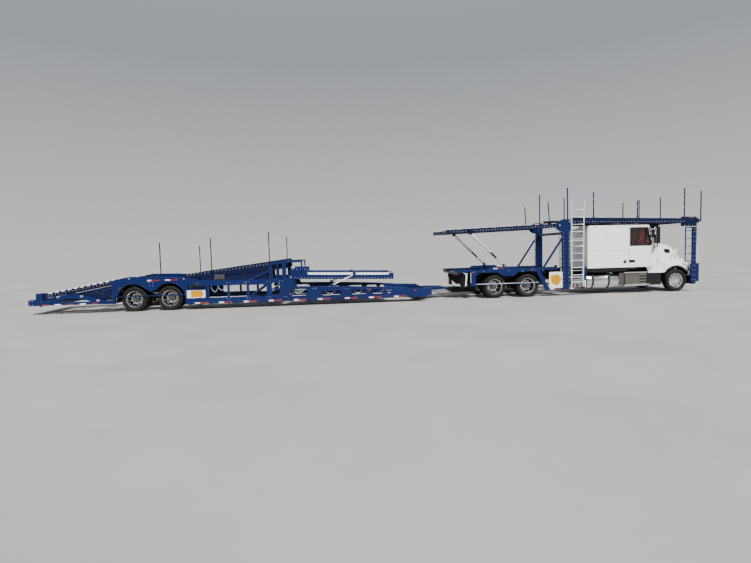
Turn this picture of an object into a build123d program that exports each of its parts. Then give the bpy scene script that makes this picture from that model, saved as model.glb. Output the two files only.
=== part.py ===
from build123d import *
import math
import os

os.makedirs("parts", exist_ok=True)

# Car transporter: a conventional sleeper-cab truck with load racks, and a low semi-trailer on a stinger pivot.
# Lengths are in millimetres. While it is drawn, x is measured from the front axle, + forward, y + to the left, z up
# from the ground. write() then shifts everything so that the origin is under the middle of the whole vehicle.

# ---- driving sizes -------------------------------------------------------------------------------------------
FRONT_END = 1007          # front of the over-cab rack
REAR_END = -24410         # back of the trailer's tail
X_SHIFT = -(FRONT_END + REAR_END) / 2
HALF_W = 1290             # half of the overall width, 2.58 m
TYRE_R = 445              # low-profile 22.5 inch tyres, standing height 0.89 m
RIM_R = 291.5
AXLE_Z = TYRE_R
DRIVE_X = (-6170, -7490)  # tandem, 1.32 m apart
PIVOT_X = -8790           # stinger pivot
TRAILER_X = (-19590, -20835)
STEER_Y = 1040            # centre of a steered tyre
STEER_W = 290
DUAL_Y = (785, 1110)      # centres of a pair of twin tyres
DUAL_W = 250
KING_Y = 870              # steering kingpin
RAIL_Y = (340, 430)       # truck frame rail
RAIL_Z = (600, 860)
CAB_BACK, CAB_FRONT = -3730, -800
CAB_FLOOR, CAB_ROOF = 1030, 2720
CAB_W = 1200
DOOR_BACK, DOOR_FRONT = -2000, -850
HOOD_PIVOT = (640, 645)
HEAD_HINGE = (-4500, 2875)    # over-cab deck, hinged at its back on the main tower
HEAD_TILT = 1.5
REAR_HINGE = (-4900, 2740)    # deck over the drive axles, hinged at its front on the main tower
REAR_TILT = 1.9
FRONT_DECK_HINGE = (-15230, 1066)   # trailer's forward upper deck, hinged at the trailer's tower
FRONT_DECK_TILT = 1.8
BACK_DECK_HINGE = (-19060, 1130)    # trailer's back upper deck, hinged at its back
BACK_TILT = 7.0
RAMP_HINGE = (-20960, 1195)         # tail ramp
RAMP_TILT = 10.2
STRUT_FOOT, STRUT_HEAD, STRUT_Y = (-7100, 1240), (-8420, 2515), 1235
T_STRUT_FOOT, T_STRUT_HEAD, T_STRUT_Y = (-13740, 720), (-12890, 1090), 1232
FIT = 0.06                # radial clearance of a pin in its bore


# ---- helpers -------------------------------------------------------------------------------------------------
def block(x, y, z):
    """A box from three (low, high) pairs."""
    return Pos((x[0] + x[1]) / 2, (y[0] + y[1]) / 2, (z[0] + z[1]) / 2) * Box(abs(x[1] - x[0]), abs(y[1] - y[0]), abs(z[1] - z[0]))


def plate(profile, y, holes=()):
    """A polygon of (x, z) points extruded over y = (low, high), with polygon holes."""
    def face(points):
        return make_face(Polyline(*[(px, y[0], pz) for px, pz in points], close=True))
    body = extrude(face(profile), amount=y[1] - y[0], dir=(0, 1, 0))
    for hole in holes:
        body = body - extrude(face(hole), amount=y[1] - y[0], dir=(0, 1, 0))
    return body


def slab(profile, z):
    """A polygon of (x, y) points extruded over z = (low, high)."""
    return extrude(make_face(Polyline(*[(px, py, z[0]) for px, py in profile], close=True)), amount=z[1] - z[0], dir=(0, 0, 1))


def rod(a, b, r):
    """A round bar from point a to point b."""
    a, b = Vector(*a), Vector(*b)
    return Plane(origin=(a + b) / 2, z_dir=(b - a).normalized()) * Cylinder(r, (b - a).length)


def pipe(a, b, r, bore):
    return rod(a, b, r) - rod(a, b, bore)


def bar(a, b, w, h):
    """A rectangular bar between two points of one XZ plane: w across (y), h deep, a and b as (x, y, z)."""
    a, b = Vector(*a), Vector(*b)
    d = (b - a).normalized()
    side = Vector(0, 1, 0) if abs(d.Y) < 0.9 else Vector(1, 0, 0)
    return Plane(origin=(a + b) / 2, x_dir=side, z_dir=d) * Box(w, h, (b - a).length)


def flip(shape):
    return mirror(shape, about=Plane.XZ)


def both(shape):
    return [shape, flip(shape)]


def join(*things):
    flat = []
    for t in things:
        flat.extend(t if isinstance(t, (list, tuple)) else [t])
    return flat[0].fuse(*flat[1:]) if len(flat) > 1 else flat[0]


def turned(profile, at, axis=(0, 1, 0)):
    """A polygon of (radius, along) points turned about the y axis through at."""
    face = make_face(Polyline(*[(r, a, 0) for r, a in profile], close=True))
    return Pos(*at) * revolve(face, Axis.Y)


def write(name, *things):
    flat = []
    for t in things:
        for s in (t if isinstance(t, (list, tuple)) else [t]):
            flat.extend(s.solids())
    moved = [Pos(X_SHIFT, 0, 0) * s for s in flat]
    shape = moved[0] if len(moved) == 1 else Compound(children=moved)
    export_step(shape, f"parts/{name}.step")


def ring(at, r, bore, y):
    return turned([(bore, y[0]), (r, y[0]), (r, y[1]), (bore, y[1])], at)


def disc(at, r, y):
    return turned([(0, y[0]), (r, y[0]), (r, y[1]), (0, y[1])], at)


# ---- tyres and wheels ----------------------------------------------------------------------------------------
def tyre(x, y, width):
    w = width / 2
    return turned([(RIM_R + 0.5, -0.74 * w), (345, -w), (398, -w), (432, -0.86 * w), (TYRE_R, -0.66 * w),
                   (TYRE_R, 0.66 * w), (432, 0.86 * w), (398, w), (345, w), (RIM_R + 0.5, 0.74 * w)], (x, y, AXLE_Z))


def steer_wheel(side):
    """Rim, dished disc and hub of a steered wheel, bored for the knuckle's spindle."""
    c = (0, 0, AXLE_Z)
    lo, hi = STEER_Y - 107, STEER_Y + 107
    wheel = join(ring(c, RIM_R, 268, (lo, hi)), ring(c, 270, 40.1, (1086, 1108)), ring(c, 118, 40.1, (985, 1120)),
                 disc(c, 82, (1112, 1172)))
    return wheel if side > 0 else flip(wheel)


def twin_wheel(x, side):
    """Both rims of a pair, the two discs bolted face to face, the hub and the brake drum."""
    c = (x, 0, AXLE_Z)
    wheel = join(ring(c, RIM_R, 268, (692, 1203)), ring(c, 270, 60.1, (930, 964)), ring(c, 205, 190, (712, 932)),
                 ring(c, 132, 60.1, (880, 1090)), disc(c, 78, (1088, 1168)))
    return wheel if side > 0 else flip(wheel)


for side, label in ((-1, "right"), (1, "left")):
    write(f"steer_tyre_{label}", tyre(0, side * STEER_Y, STEER_W))
    write(f"steer_wheel_{label}", steer_wheel(side))
    for group, places in (("drive", DRIVE_X), ("trailer", TRAILER_X)):
        for where, x in zip(("front", "back"), places):
            write(f"{group}_tyres_{where}_{label}", [tyre(x, side * y, DUAL_W) for y in DUAL_Y])
            write(f"{group}_wheels_{where}_{label}", twin_wheel(x, side))

# ---- steering ------------------------------------------------------------------------------------------------
ARM_X, ARM_Y, ARM_Z = -200, KING_Y, 345


def knuckle():
    """Left-hand knuckle: fork round the beam's eye, kingpin, spindle and track-rod arm."""
    body = join(block((-45, 45), (825, 940), (478, 515)), block((-45, 45), (825, 940), (345, 382)),
                block((-45, 45), (912, 940), (345, 515)), rod((0, KING_Y, 345), (0, KING_Y, 515), 22),
                rod((0, 935, AXLE_Z), (0, 1104, AXLE_Z), 40),
                block((-228, -40), (ARM_Y - 20, ARM_Y + 20), (ARM_Z, ARM_Z + 32)))
    return body - rod((ARM_X, ARM_Y, 300), (ARM_X, ARM_Y, 420), 12 + FIT)


write("knuckle_left", knuckle())
write("knuckle_right", flip(knuckle()))
write("tie_rod", join(rod((ARM_X, -ARM_Y, 318), (ARM_X, ARM_Y, 318), 19),
                      [rod((ARM_X, s * ARM_Y, 300), (ARM_X, s * ARM_Y, 376), 12) for s in (-1, 1)],
                      [rod((ARM_X, s * ARM_Y, 296), (ARM_X, s * ARM_Y, 340), 27) for s in (-1, 1)]))

# ---- axles with their springs --------------------------------------------------------------------------------
front_beam = join(block((-45, 45), (-700, 700), (330, 410)), [block((-38, 38), (s * 660, s * KING_Y), (387, 473)) for s in (-1, 1)],
                  [rod((0, s * KING_Y, 387), (0, s * KING_Y, 473), 38) for s in (-1, 1)],
                  [block((-45, 45), (s * 640, s * 700), (330, 473)) for s in (-1, 1)],
                  [bar((-700, s * 480, 560), (0, s * 480, 440), 76, 40) for s in (-1, 1)],
                  [bar((500, s * 480, 560), (0, s * 480, 440), 76, 40) for s in (-1, 1)],
                  [block((-90, 90), (s * 442, s * 518), (395, 475)) for s in (-1, 1)])
for s in (-1, 1):
    front_beam = front_beam - rod((0, s * KING_Y, 300), (0, s * KING_Y, 600), 22 + FIT)


def beam_axle(x, driven):
    """Tube axle, spindles, trailing arms and air bags; a driven one has its final-drive casing."""
    parts = [rod((x, -690, AXLE_Z), (x, 690, AXLE_Z), 68), rod((x, -1040, AXLE_Z), (x, 1040, AXLE_Z), 60)]
    for s in (-1, 1):
        parts.append(block((x - 330, x + 250), (s * 520, s * 600), (AXLE_Z - 140, AXLE_Z - 60)))
        parts.append(block((x - 60, x + 60), (s * 520, s * 600), (AXLE_Z - 80, AXLE_Z + 90)))
        parts.append(rod((x - 260, s * 560, AXLE_Z - 62), (x - 260, s * 560, 640), 85))
        parts.append(block((x + 180, x + 240), (s * 530, s * 590), (AXLE_Z - 100, 640)))
    if driven:
        parts += [rod((x - 150, 0, AXLE_Z + 10), (x + 210, 0, AXLE_Z + 10), 150), rod((x, -120, AXLE_Z), (x, 120, AXLE_Z), 190)]
    return join(parts)


write("truck_axles", [front_beam] + [beam_axle(x, True) for x in DRIVE_X])
write("trailer_axles", [beam_axle(x, False) for x in TRAILER_X])

# ---- truck frame ---------------------------------------------------------------------------------------------
rails = both(block((-8250, 555), RAIL_Y, RAIL_Z))
cross = [block((x - 50, x + 50), (-345, 345), (640, 820)) for x in (430, -2500, -3900, -5200, -6830, -8150)]
axle_hangers = [block((x - 360, x + 260), (s * 425, s * 640), (640, 690)) for x in DRIVE_X for s in (-1, 1)]
spring_hangers = [block((x - 60, x + 60), (s * 425, s * 525), (581, 700)) for x in (-660, 450) for s in (-1, 1)]
outriggers = [block((x - 60, x + 60), (s * 425, s * reach), (640, 760)) for x, reach in ((-4650, 1150), (-5500, 1245), (-8340, 1245)) for s in (-1, 1)]
stinger = [block((-8250, -8000), (-420, 420), (200, 640)), block((-8950, -8240), (-300, 300), (200, 310)),
           slab([(-9150, -250), (-9150, 250), (-8900, 400), (-8450, 400), (-8300, 300), (-8300, -300), (-8450, -400), (-8900, -400)], (308, 340))]
truck_frame = join(rails, cross, axle_hangers, spring_hangers, outriggers, stinger)
truck_frame = truck_frame - rod((PIVOT_X, 0, 150), (PIVOT_X, 0, 400), 25.5)
write("truck_frame", truck_frame)
write("engine_block", block((-700, 250), (-330, 330), (700, 1420)))

# ---- cab -----------------------------------------------------------------------------------------------------
WALL = 55


def cab_solid(i):
    """The cab and sleeper as one closed volume, its walls moved in by i."""
    side = [(CAB_BACK + i, CAB_FLOOR + i), (CAB_BACK + i, 2620), (CAB_BACK + 110, CAB_ROOF - i), (-1420, CAB_ROOF - i),
            (-1190 - 0.6 * i, 2670 - i), (-870 - 1.1 * i, 1890), (CAB_FRONT - i, 1760), (CAB_FRONT - i, CAB_FLOOR + i)]
    body = plate(side, (-CAB_W + i, CAB_W - i))
    for s in (-1, 1):   # the roof's sides lean in
        body = body - Pos(0, s * (CAB_W - i), CAB_ROOF - i) * Rot(45, 0, 0) * Box(9000, 85, 85)
    return body


shell = cab_solid(0) - cab_solid(WALL)
SCREEN = [(-1160, 2600), (-885, 1925)]          # windscreen, top and foot, at its outer face
slope = math.degrees(math.atan2(SCREEN[0][1] - SCREEN[1][1], SCREEN[0][0] - SCREEN[1][0]))
SCREEN_L = math.hypot(SCREEN[0][1] - SCREEN[1][1], SCREEN[0][0] - SCREEN[1][0])
mid = ((SCREEN[0][0] + SCREEN[1][0]) / 2, (SCREEN[0][1] + SCREEN[1][1]) / 2)
in_screen = Pos(mid[0], 0, mid[1]) * Rot(0, -slope, 0)
shell = shell - in_screen * Box(SCREEN_L - 60, 2060, 320)
DOOR = [(DOOR_BACK, 1090), (DOOR_BACK, 2625), (-1235, 2625), (-975, 1945), (DOOR_FRONT, 1865), (DOOR_FRONT, 1090)]
HINGE_Z = (1210, 1700)
for s in (-1, 1):
    shell = shell - plate(DOOR, (1100, 1300) if s > 0 else (-1300, -1100))
cowl = plate([(-1230, 1028), (-838, 1028), (-838, 1262), (-794, 1232), (-466, 998), (-482, 790), (-560, 778), (-1180, 778)], (1130, 1190))
knuckles = []
for z in HINGE_Z:
    knuckles.append(rod((DOOR_FRONT, CAB_W, z), (DOOR_FRONT, CAB_W, z + 40), 13) + block((-850, -815), (1170, CAB_W), (z, z + 40)))
shell = join(shell, both(cowl), [both(k) for k in knuckles][0], [both(k) for k in knuckles][1])
for s in (-1, 1):
    for z in HINGE_Z:
        shell = shell - rod((DOOR_FRONT, s * CAB_W, z - 20), (DOOR_FRONT, s * CAB_W, z + 41), 6 + FIT)
        shell = shell - block((-880, -828), (s * 1165, s * 1230), (z + 40, z + 92))
write("cab_shell", shell)
write("windshield", in_screen * Pos(0, 0, -24) * Box(SCREEN_L - 66, 2054, 14))
write("seats", [join(block((-1950, -1440), (s * 330, s * 830), (1300, 1460)), block((-2080, -1940), (s * 330, s * 830), (1300, 2080)),
                     block((-1900, -1500), (s * 450, s * 710), (1085, 1310))) for s in (-1, 1)],
      block((-3670, -2900), (-1130, 1130), (1420, 1600)))
write("dashboard", join(plate([(-1180, 1560), (-1180, 1760), (-1050, 1850), (-975, 1850), (-900, 1760), (-856, 1700), (-856, 1500), (-1050, 1400)], (-1100, 1100)),
                        rod((-1120, 600, 1700), (-1400, 600, 1840), 30),
                        Pos(-1400, 600, 1840) * Rot(0, -63, 0) * Torus(205, 16),
                        Pos(-1400, 600, 1840) * Rot(0, -63, 0) * Box(400, 60, 14)))

# ---- doors, each with its glass and mirror ---------------------------------------------------------------------
door_face = [(DOOR_BACK + 6, 1096), (DOOR_BACK + 6, 2619), (-1239, 2619), (-981, 1941), (DOOR_FRONT - 8, 1858), (DOOR_FRONT - 8, 1096)]
window = [(-1945, 1900), (-1945, 2570), (-1290, 2570), (-1085, 1985), (-1130, 1900)]
door_left = plate(door_face, (1146, 1199), [window])
glass_left = plate([(-1944, 1901), (-1944, 2569), (-1291, 2569), (-1087, 1985), (-1131, 1901)], (1166, 1174))
for z in HINGE_Z:
    door_left = door_left - block((-875, -840), (1130, 1230), (z - 6, z + 46))
    door_left = join(door_left, rod((DOOR_FRONT, CAB_W, z + 46), (DOOR_FRONT, CAB_W, z + 86), 13), block((-870, -850), (1175, CAB_W - 1), (z + 46, z + 86)))
    door_left = join(door_left, rod((DOOR_FRONT, CAB_W, z + 2), (DOOR_FRONT, CAB_W, z + 60), 6))
mirror_left = join(block((-1030, -880), (1290, 1440), (1950, 2600)), block((-970, -940), (1180, 1390), (1790, 1820)),
                   block((-970, -940), (1350, 1390), (1790, 1955)), bar((-1190, 1150, 2330), (-960, 1345, 2330), 30, 30))
mirror_left = mirror_left - block((-1400, -800), (1000, 1199), (1700, 2500)) - shell
for side, label in ((-1, "right"), (1, "left")):
    for name, thing in (("door", door_left), ("door_glass", glass_left), ("mirror", mirror_left)):
        write(f"{name}_{label}", thing if side > 0 else flip(thing))

# ---- hood, tilting forward on a pivot over the bumper ------------------------------------------------------------
ARCH_R = 575


def arc_points(r, start, end, n, cx=0, cz=AXLE_Z):
    return [(cx + r * math.cos(math.radians(start + (end - start) * k / n)), cz + r * math.sin(math.radians(start + (end - start) * k / n))) for k in range(n + 1)]


HOOD_TOP = [(-785, 1925), (-420, 1905), (-220, 1850), (0, 1765), (150, 1610), (390, 1400), (550, 1200), (640, 1010), (690, 900), (700, 745)]


def hood_solid(i):
    """The hood with its wings as a closed volume, its skin moved in by i, open at the back."""
    arch = arc_points(ARCH_R + i, 21, 143, 9)
    side = [(x - 0.7 * i if x > -700 else x - i, z - i) for x, z in HOOD_TOP[:-1]] + [(700 - i, 745 - i), (640, 745 - i), (622, 652 - i), (545, 652 - i)] + arch + [(-450 - i, 1005 - i), (-785 - i, 1240 - i)]
    body = plate(side, (-1168 + i, 1168 - i))
    for s in (-1, 1):   # the bonnet stands between lower, wider wings, and narrows to the nose
        body = body - plate([(-1000, 1500), (-785, 1470), (200, 1290), (560, 1130), (900, 1130), (900, 2100), (-1000, 2100)],
                            (930 - i, 1300) if s > 0 else (-1300, -930 + i))
        body = body - slab([(-300, s * (930 - i)), (900, s * (600 - i)), (900, s * 1300), (-300, s * 1300)], (1290 - i, 2100))
        body = body - slab([(330, s * (1170 - i)), (760, s * (1000 - i)), (760, s * 1300), (330, s * 1300)], (600, 1400))
    return body


hood = hood_solid(0) - hood_solid(40)
hood = hood - block((-560, 588), (-690, 690), (600, 1060))      # open below, between the wheel arches
hood = hood - block((500, 760), (-350, 350), (785, 1195))       # grille opening
lamp = [(560, 1030), (618, 1030), (640, 1000), (682, 900), (688, 795), (560, 795)]
hood = hood - block((554, 760), (719, 1100), (789, 1036)) - block((554, 760), (-1100, -719), (789, 1036))
hood = hood - rod((HOOD_PIVOT[0], -384, 655), (HOOD_PIVOT[0], -338, 655), 100) - rod((HOOD_PIVOT[0], 338, 655), (HOOD_PIVOT[0], 384, 655), 100)
lug = [join(block((598, 650), (s * 384, s * 414), (636, 700)), block((594, 632), (s * 384, s * 414), (660, 800)), block((600, 682), (s * 384, s * 414), (742, 800))) for s in (-1, 1)]
hood_pins = [rod((HOOD_PIVOT[0], s * 352, HOOD_PIVOT[1] + 10), (HOOD_PIVOT[0], s * 410, HOOD_PIVOT[1] + 10), 10) for s in (-1, 1)]
HOOD_PIVOT = (HOOD_PIVOT[0], HOOD_PIVOT[1] + 10)
write("hood", join(hood, lug, hood_pins))
grille = plate([(640, 791), (690, 791), (684, 900), (640, 1000), (552, 1189), (516, 1189), (596, 1000), (640, 900)], (-344, 344))
grille = grille - block((400, 760), (-300, 300), (830, 930)) - block((400, 760), (-300, 300), (970, 1150))
write("grille", join(grille, plate([(652, 820), (674, 820), (668, 900), (624, 1000), (552, 1160), (534, 1160), (608, 1000), (652, 900)], (-14, 14))))
write("headlamps", both(plate(lamp, (725, 1094)) - slab([(330, 1167), (760, 997), (760, 1300), (330, 1300)], (600, 1400))))

# ---- bumper, tanks, steps ----------------------------------------------------------------------------------------
bumper = slab([(520, -1168), (655, -1168), (750, -800), (760, 0), (750, 800), (655, 1168), (520, 1168), (520, 1130), (600, 1120), (690, 780), (700, 0), (690, -780), (600, -1120), (520, -1130)], (335, 630))
horns = [block((555, 715), (s * 345, s * 378), (540, 628)) for s in (-1, 1)] + [block((600, 668), (s * 345, s * 378), (600, 684)) for s in (-1, 1)]
bumper = join(bumper, horns)
for s in (-1, 1):
    bumper = bumper - rod((HOOD_PIVOT[0], s * 340, HOOD_PIVOT[1]), (HOOD_PIVOT[0], s * 382, HOOD_PIVOT[1]), 10 + FIT)
write("front_bumper", bumper)
TANK_X, TANK_Z, TANK_R = (-3730, -2430), 515, 300
tanks = [join(rod((TANK_X[0], s * 880, TANK_Z), (TANK_X[1], s * 880, TANK_Z), TANK_R),
              [pipe((x - 30, s * 880, TANK_Z), (x + 30, s * 880, TANK_Z), TANK_R + 9, TANK_R - 5) for x in (-3490, -2830)],
              [block((x - 30, x + 30), (s * 430, s * 640), (620, 760)) for x in (-3490, -2830)]) for s in (-1, 1)]
write("fuel_tanks", tanks)
steps = [join(block((-2210, -1240), (s * 640, s * 1150), (300, 820)), block((-2210, -1240), (s * 1100, s * 1190), (285, 325)),
              block((-2210, -1240), (s * 1080, s * 1190), (795, 830)), block((-1750, -1690), (s * 430, s * 660), (660, 760)),
              block((-1242, -640), (s * 920, s * 1160), (300, 772))) for s in (-1, 1)]
write("step_boxes", steps)

# ---- racks: main tower behind the cab, front posts before the bumper ------------------------------------------------
main = []
for s in (-1, 1):
    outer = (1245, HALF_W) if s > 0 else (-HALF_W, -1245)
    post = block((-4780, -4510), (s * 1150, s * HALF_W), (320, 2560)) - block((-4668, -4622), (s * 1270, s * 1300), (400, 2440))
    main += [post, plate([(-5110, 2725), (-5020, 2590), (-4885, 2505), (-4457, 2505), (-4457, 2905), (-4510, 2950), (-4840, 2950)], outer),
             rod((-4580, s * 1266, 2900), (-4580, s * 1266, 4180), 24),
             bar((-4760, s * 1267, 2300), (-5600, s * 1267, 1060), 44, 70) - block((-5800, -5400), (s * 1200, s * 1300), (900, 1100))]
main += [block((-4720, -4600), (-1160, 1160), (2380, 2480)), block((-4720, -4600), (-1160, 1160), (860, 940))]
tower = join(main)
for s in (-1, 1):
    tower = tower - rod((HEAD_HINGE[0], s * 1240, HEAD_HINGE[1]), (HEAD_HINGE[0], s * 1300, HEAD_HINGE[1]), 30 + FIT)
    tower = tower - rod((REAR_HINGE[0], s * 1240, REAR_HINGE[1]), (REAR_HINGE[0], s * 1300, REAR_HINGE[1]), 28 + FIT)
write("main_tower", tower)
LIFT = (800, 1252)
front = []
for s in (-1, 1):
    front += [block((605, 740), (s * 1200, s * HALF_W), (285, 2560)), block((530, 875), (s * 1215, s * HALF_W), (385, 1110)),
              block((295, 325), (s * 1240, s * 1270), (1180, 2560)), block((295, 640), (s * 1240, s * 1270), (1180, 1215)),
              block((295, 640), (s * 1240, s * 1270), (2520, 2560))]
    front += [block((295, 640), (s * 1242, s * 1268), (z, z + 26)) for z in (1480, 1780, 2090, 2400)]
front += [block((605, 740), (-1230, 1230), (285, 331))]
front += [block((480, 640), (s * 250, s * 330), (285, 331)) for s in (-1, 1)] + [block((480, 550), (s * 250, s * 340), (285, 700)) for s in (-1, 1)]
posts_front = join(front)
for s in (-1, 1):
    posts_front = posts_front - rod((LIFT[0], s * LIFT[1], 425), (LIFT[0], s * LIFT[1], 1200), 25 + FIT)
    posts_front = posts_front - rod((568, s * 1200, 430), (568, s * 1300, 430), 16)
write("front_posts", posts_front)
write("head_lift_rods", [join(rod((LIFT[0], s * LIFT[1], 430), (LIFT[0], s * LIFT[1], 1960), 25), rod((LIFT[0], s * LIFT[1], 1940), (LIFT[0], s * LIFT[1], 2568), 34)) for s in (-1, 1)])

# ---- truck lower deck: side frames over the wheels, tracks, sills and guard bars -------------------------------------
SIDE = [(-8450, 500), (-8450, 1060), (-7800, 1080), (-7640, 1190), (-6620, 1190), (-6480, 1095), (-5720, 1100), (-5345, 320),
        (-3790, 320), (-3790, 250), (-5480, 250), (-5850, 1000), (-6550, 1000), (-6745, 845), (-7150, 845), (-7400, 1000), (-8080, 1000), (-8250, 880), (-8250, 500)]
lower = []
for s in (-1, 1):
    lower.append(plate(SIDE, (1245, HALF_W) if s > 0 else (-HALF_W, -1245)))
    lower.append(block((-8950, -4790), (s * 560, s * 1150), (1030, 1060)))
    lower += [block((-8950, -4790), (s * y, s * (y + 30)), (1030, 1110)) for y in (545, 1120)]
    lower.append(rod((-8260, s * 1270, 560), (-5600, s * 1270, 560), 16))
    lower.append(block((-5335, -4800), (s * 1258, s * 1284), (318, 945)))
    # foot of the deck strut: a clevis round its eye, with the pin
    lower += [block((-7150, -7050), (s * 1180, s * 1250), (1150, 1176)), block((-7150, -7050), (s * 1180, s * 1191), (1150, 1290)),
              block((-7150, -7050), (s * 1279, s * HALF_W), (1150, 1290)), rod((STRUT_FOOT[0], s * 1185, STRUT_FOOT[1]), (STRUT_FOOT[0], s * 1285, STRUT_FOOT[1]), 15)]
lower += [block((x - 40, x + 40), (-1250, 1250), (950, 1035)) for x in (-5560, -6830, -8200)]
lower += [block((x - 40, x + 40), (-1145, 1145), (950, 1035)) for x in (-4840, -8900)]
lower += [block((x - 40, x + 40), (s * 345, s * 425), (860, 960)) for x in (-4840, -5560, -8200) for s in (-1, 1)]
write("truck_lower_deck", join(lower))
LADDER = [(-4424, -4424), (-3956, -3915)]       # foot and top x of each stile
ladder = [bar((foot, -1272, 322), (top, -1272, 3650), 30, 50) for foot, top in LADDER]
ladder += [rod((-4424, -1272, 520 + 280 * k), (-3953 + 3.4 * k, -1272, 520 + 280 * k), 14) for k in range(11)]
write("ladder", join(ladder, block((-4510, -3925), (-1268, -1246), (2120, 2150)), block((-4510, -3940), (-1268, -1246), (700, 730))))


# ---- decks -----------------------------------------------------------------------------------------------------------
def deck(x0, x1, half, z_low, z_high, tubes, track=26, drop=60):
    """A load deck along +x: channel side beams from (low at x0, low at x1) to (high at x0, high at x1), two wheel tracks with edges, cross tubes. The tracks lie drop below the beams' tops."""
    def at(pair, x):
        return pair[0] + (pair[1] - pair[0]) * (x - x0) / (x1 - x0)
    parts = []
    for s in (-1, 1):
        def y(a, b):
            return (a, b) if s > 0 else (-b, -a)
        parts += [plate([(x0, z_low[0]), (x0, z_high[0]), (x1, z_high[1]), (x1, z_low[1])], y(half - 12, half)),
                  plate([(x0, z_high[0] - 16), (x0, z_high[0]), (x1, z_high[1]), (x1, z_high[1] - 16)], y(half - 60, half)),
                  plate([(x0, z_low[0]), (x0, z_low[0] + 16), (x1, z_low[1] + 16), (x1, z_low[1])], y(half - 60, half)),
                  plate([(x0, z_high[0] - drop - track), (x0, z_high[0] - drop), (x1, z_high[1] - drop), (x1, z_high[1] - drop - track)], y(545, half - 8)),
                  plate([(x0, z_high[0] - drop - 50), (x0, z_high[0] - drop + 40), (x1, z_high[1] - drop + 40), (x1, z_high[1] - drop - 50)], y(533, 548))]
    for k in range(tubes):
        x = x0 + 50 + (x1 - x0 - 100) * k / (tubes - 1)
        top = at(z_high, x) - drop - track
        parts.append(block((x - 35, x + 35), (-half + 6, half - 6), (max(at(z_low, x) + 4, top - 60), top + 4)))
    return parts


def trunnions(r, inner, outer, reach, z_low, z_high, half):
    """Hinge pins through the carrying plates, with the deck's end lugs that hold them."""
    pins = [rod((0, s * inner, 0), (0, s * outer, 0), r) for s in (-1, 1)]
    return pins + [block((-r - 8, reach), (s * (half - 60), s * half), (z_low, z_high)) for s in (-1, 1)]


def placed(parts, hinge, tilt, back=False):
    return Pos(hinge[0], 0, hinge[1]) * (Rot(0, 0, 180) * Rot(0, tilt, 0) if back else Rot(0, tilt, 0)) * join(parts)


head = deck(60, 5400, 1236, (-75, -15), (160, 160), 7)
head += [block((4755, 5310), (s * 1060, s * 1236), (-150, 225)) for s in (-1, 1)]
head += trunnions(30, 1180, 1286, 120, -60, 60, 1236)
write("head_deck", placed(head, HEAD_HINGE, HEAD_TILT))
STANCHIONS = [  # x, side, top
    (985, -1, 3970), (290, -1, 4105), (-1683, -1, 3640), (-3491, -1, 4010), (985, 1, 3970), (-20, 1, 3880), (-780, 1, 3760), (-3491, 1, 4010)]


def head_top(x):
    return HEAD_HINGE[1] + 160 - (x - HEAD_HINGE[0]) * math.tan(math.radians(HEAD_TILT))


def stanchion(x, s, top):
    if x > 900:    # the front pair stands beside the deck's nose, on an arm
        return join(rod((x, s * 1210, head_top(x) - 60), (x, s * 1210, top), 22), block((880, x + 20), (s * 1190, s * 1230), (head_top(x) - 120, head_top(x) - 60)))
    low = head_top(x) + 2
    return rod((x, s * 1206, low), (x, s * 1206, top), 22)


head_solid = placed(head, HEAD_HINGE, HEAD_TILT)
write("head_deck_stanchions", [stanchion(*row) - head_solid for row in STANCHIONS])

rear = deck(40, 4450, 1170, (-75, -70), (80, 75), 6)
rear += trunnions(28, 1110, 1286, 130, -70, 60, 1170)
rear += [rod((345, s * 1145, 60), (375, s * 1145, 950), 20) for s in (-1, 1)]
bx, bz = 3526, -108     # the strut head's place on the deck
rear += [block((bx - 60, bx + 60), (s * 1160, s * 1284), (20, 34)) for s in (-1, 1)]
rear += [block((bx - 60, bx + 60), (s * a, s * b), (bz - 45, 34)) for s in (-1, 1) for a, b in ((1190, 1201), (1270, 1284))]
write("truck_rear_deck", placed(rear, REAR_HINGE, REAR_TILT, back=True))


# ---- telescopic struts -------------------------------------------------------------------------------------------------
def strut(foot, head_pt, y, barrel_len, rod_in, r_barrel, r_rod, half_eye):
    """The barrel from its foot, bored, and the rod that runs in it up to its eye."""
    full = math.hypot(head_pt[0] - foot[0], head_pt[1] - foot[1])

    def pt(t):
        return (foot[0] + (head_pt[0] - foot[0]) * t / full, y, foot[1] + (head_pt[1] - foot[1]) * t / full)
    barrel = join(rod(pt(50), pt(barrel_len), r_barrel), rod((foot[0], y - half_eye, foot[1]), (foot[0], y + half_eye, foot[1]), r_barrel), rod(pt(20), pt(70), r_barrel * 0.8))
    barrel = barrel - rod(pt(95), pt(barrel_len + 10), r_rod + FIT) - rod((foot[0], y - 60, foot[1]), (foot[0], y + 60, foot[1]), 15 + FIT)
    inner = join(rod(pt(rod_in), pt(full - 20), r_rod), rod((head_pt[0], y - half_eye, head_pt[1]), (head_pt[0], y + half_eye, head_pt[1]), r_barrel))
    return barrel, inner - rod((head_pt[0], y - 60, head_pt[1]), (head_pt[0], y + 60, head_pt[1]), 15)


pairs = [strut(STRUT_FOOT, STRUT_HEAD, s * STRUT_Y, 1060, 765, 38, 26, 26) for s in (-1, 1)]
write("deck_strut_barrels", [p[0] for p in pairs])
write("deck_strut_rods", [p[1] for p in pairs])
t_pairs = [strut(T_STRUT_FOOT, T_STRUT_HEAD, s * T_STRUT_Y, 720, 150, 30, 20, 22) for s in (-1, 1)]
write("trailer_strut_barrels", [p[0] for p in t_pairs])
write("trailer_strut_rods", [p[1] for p in t_pairs])

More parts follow.
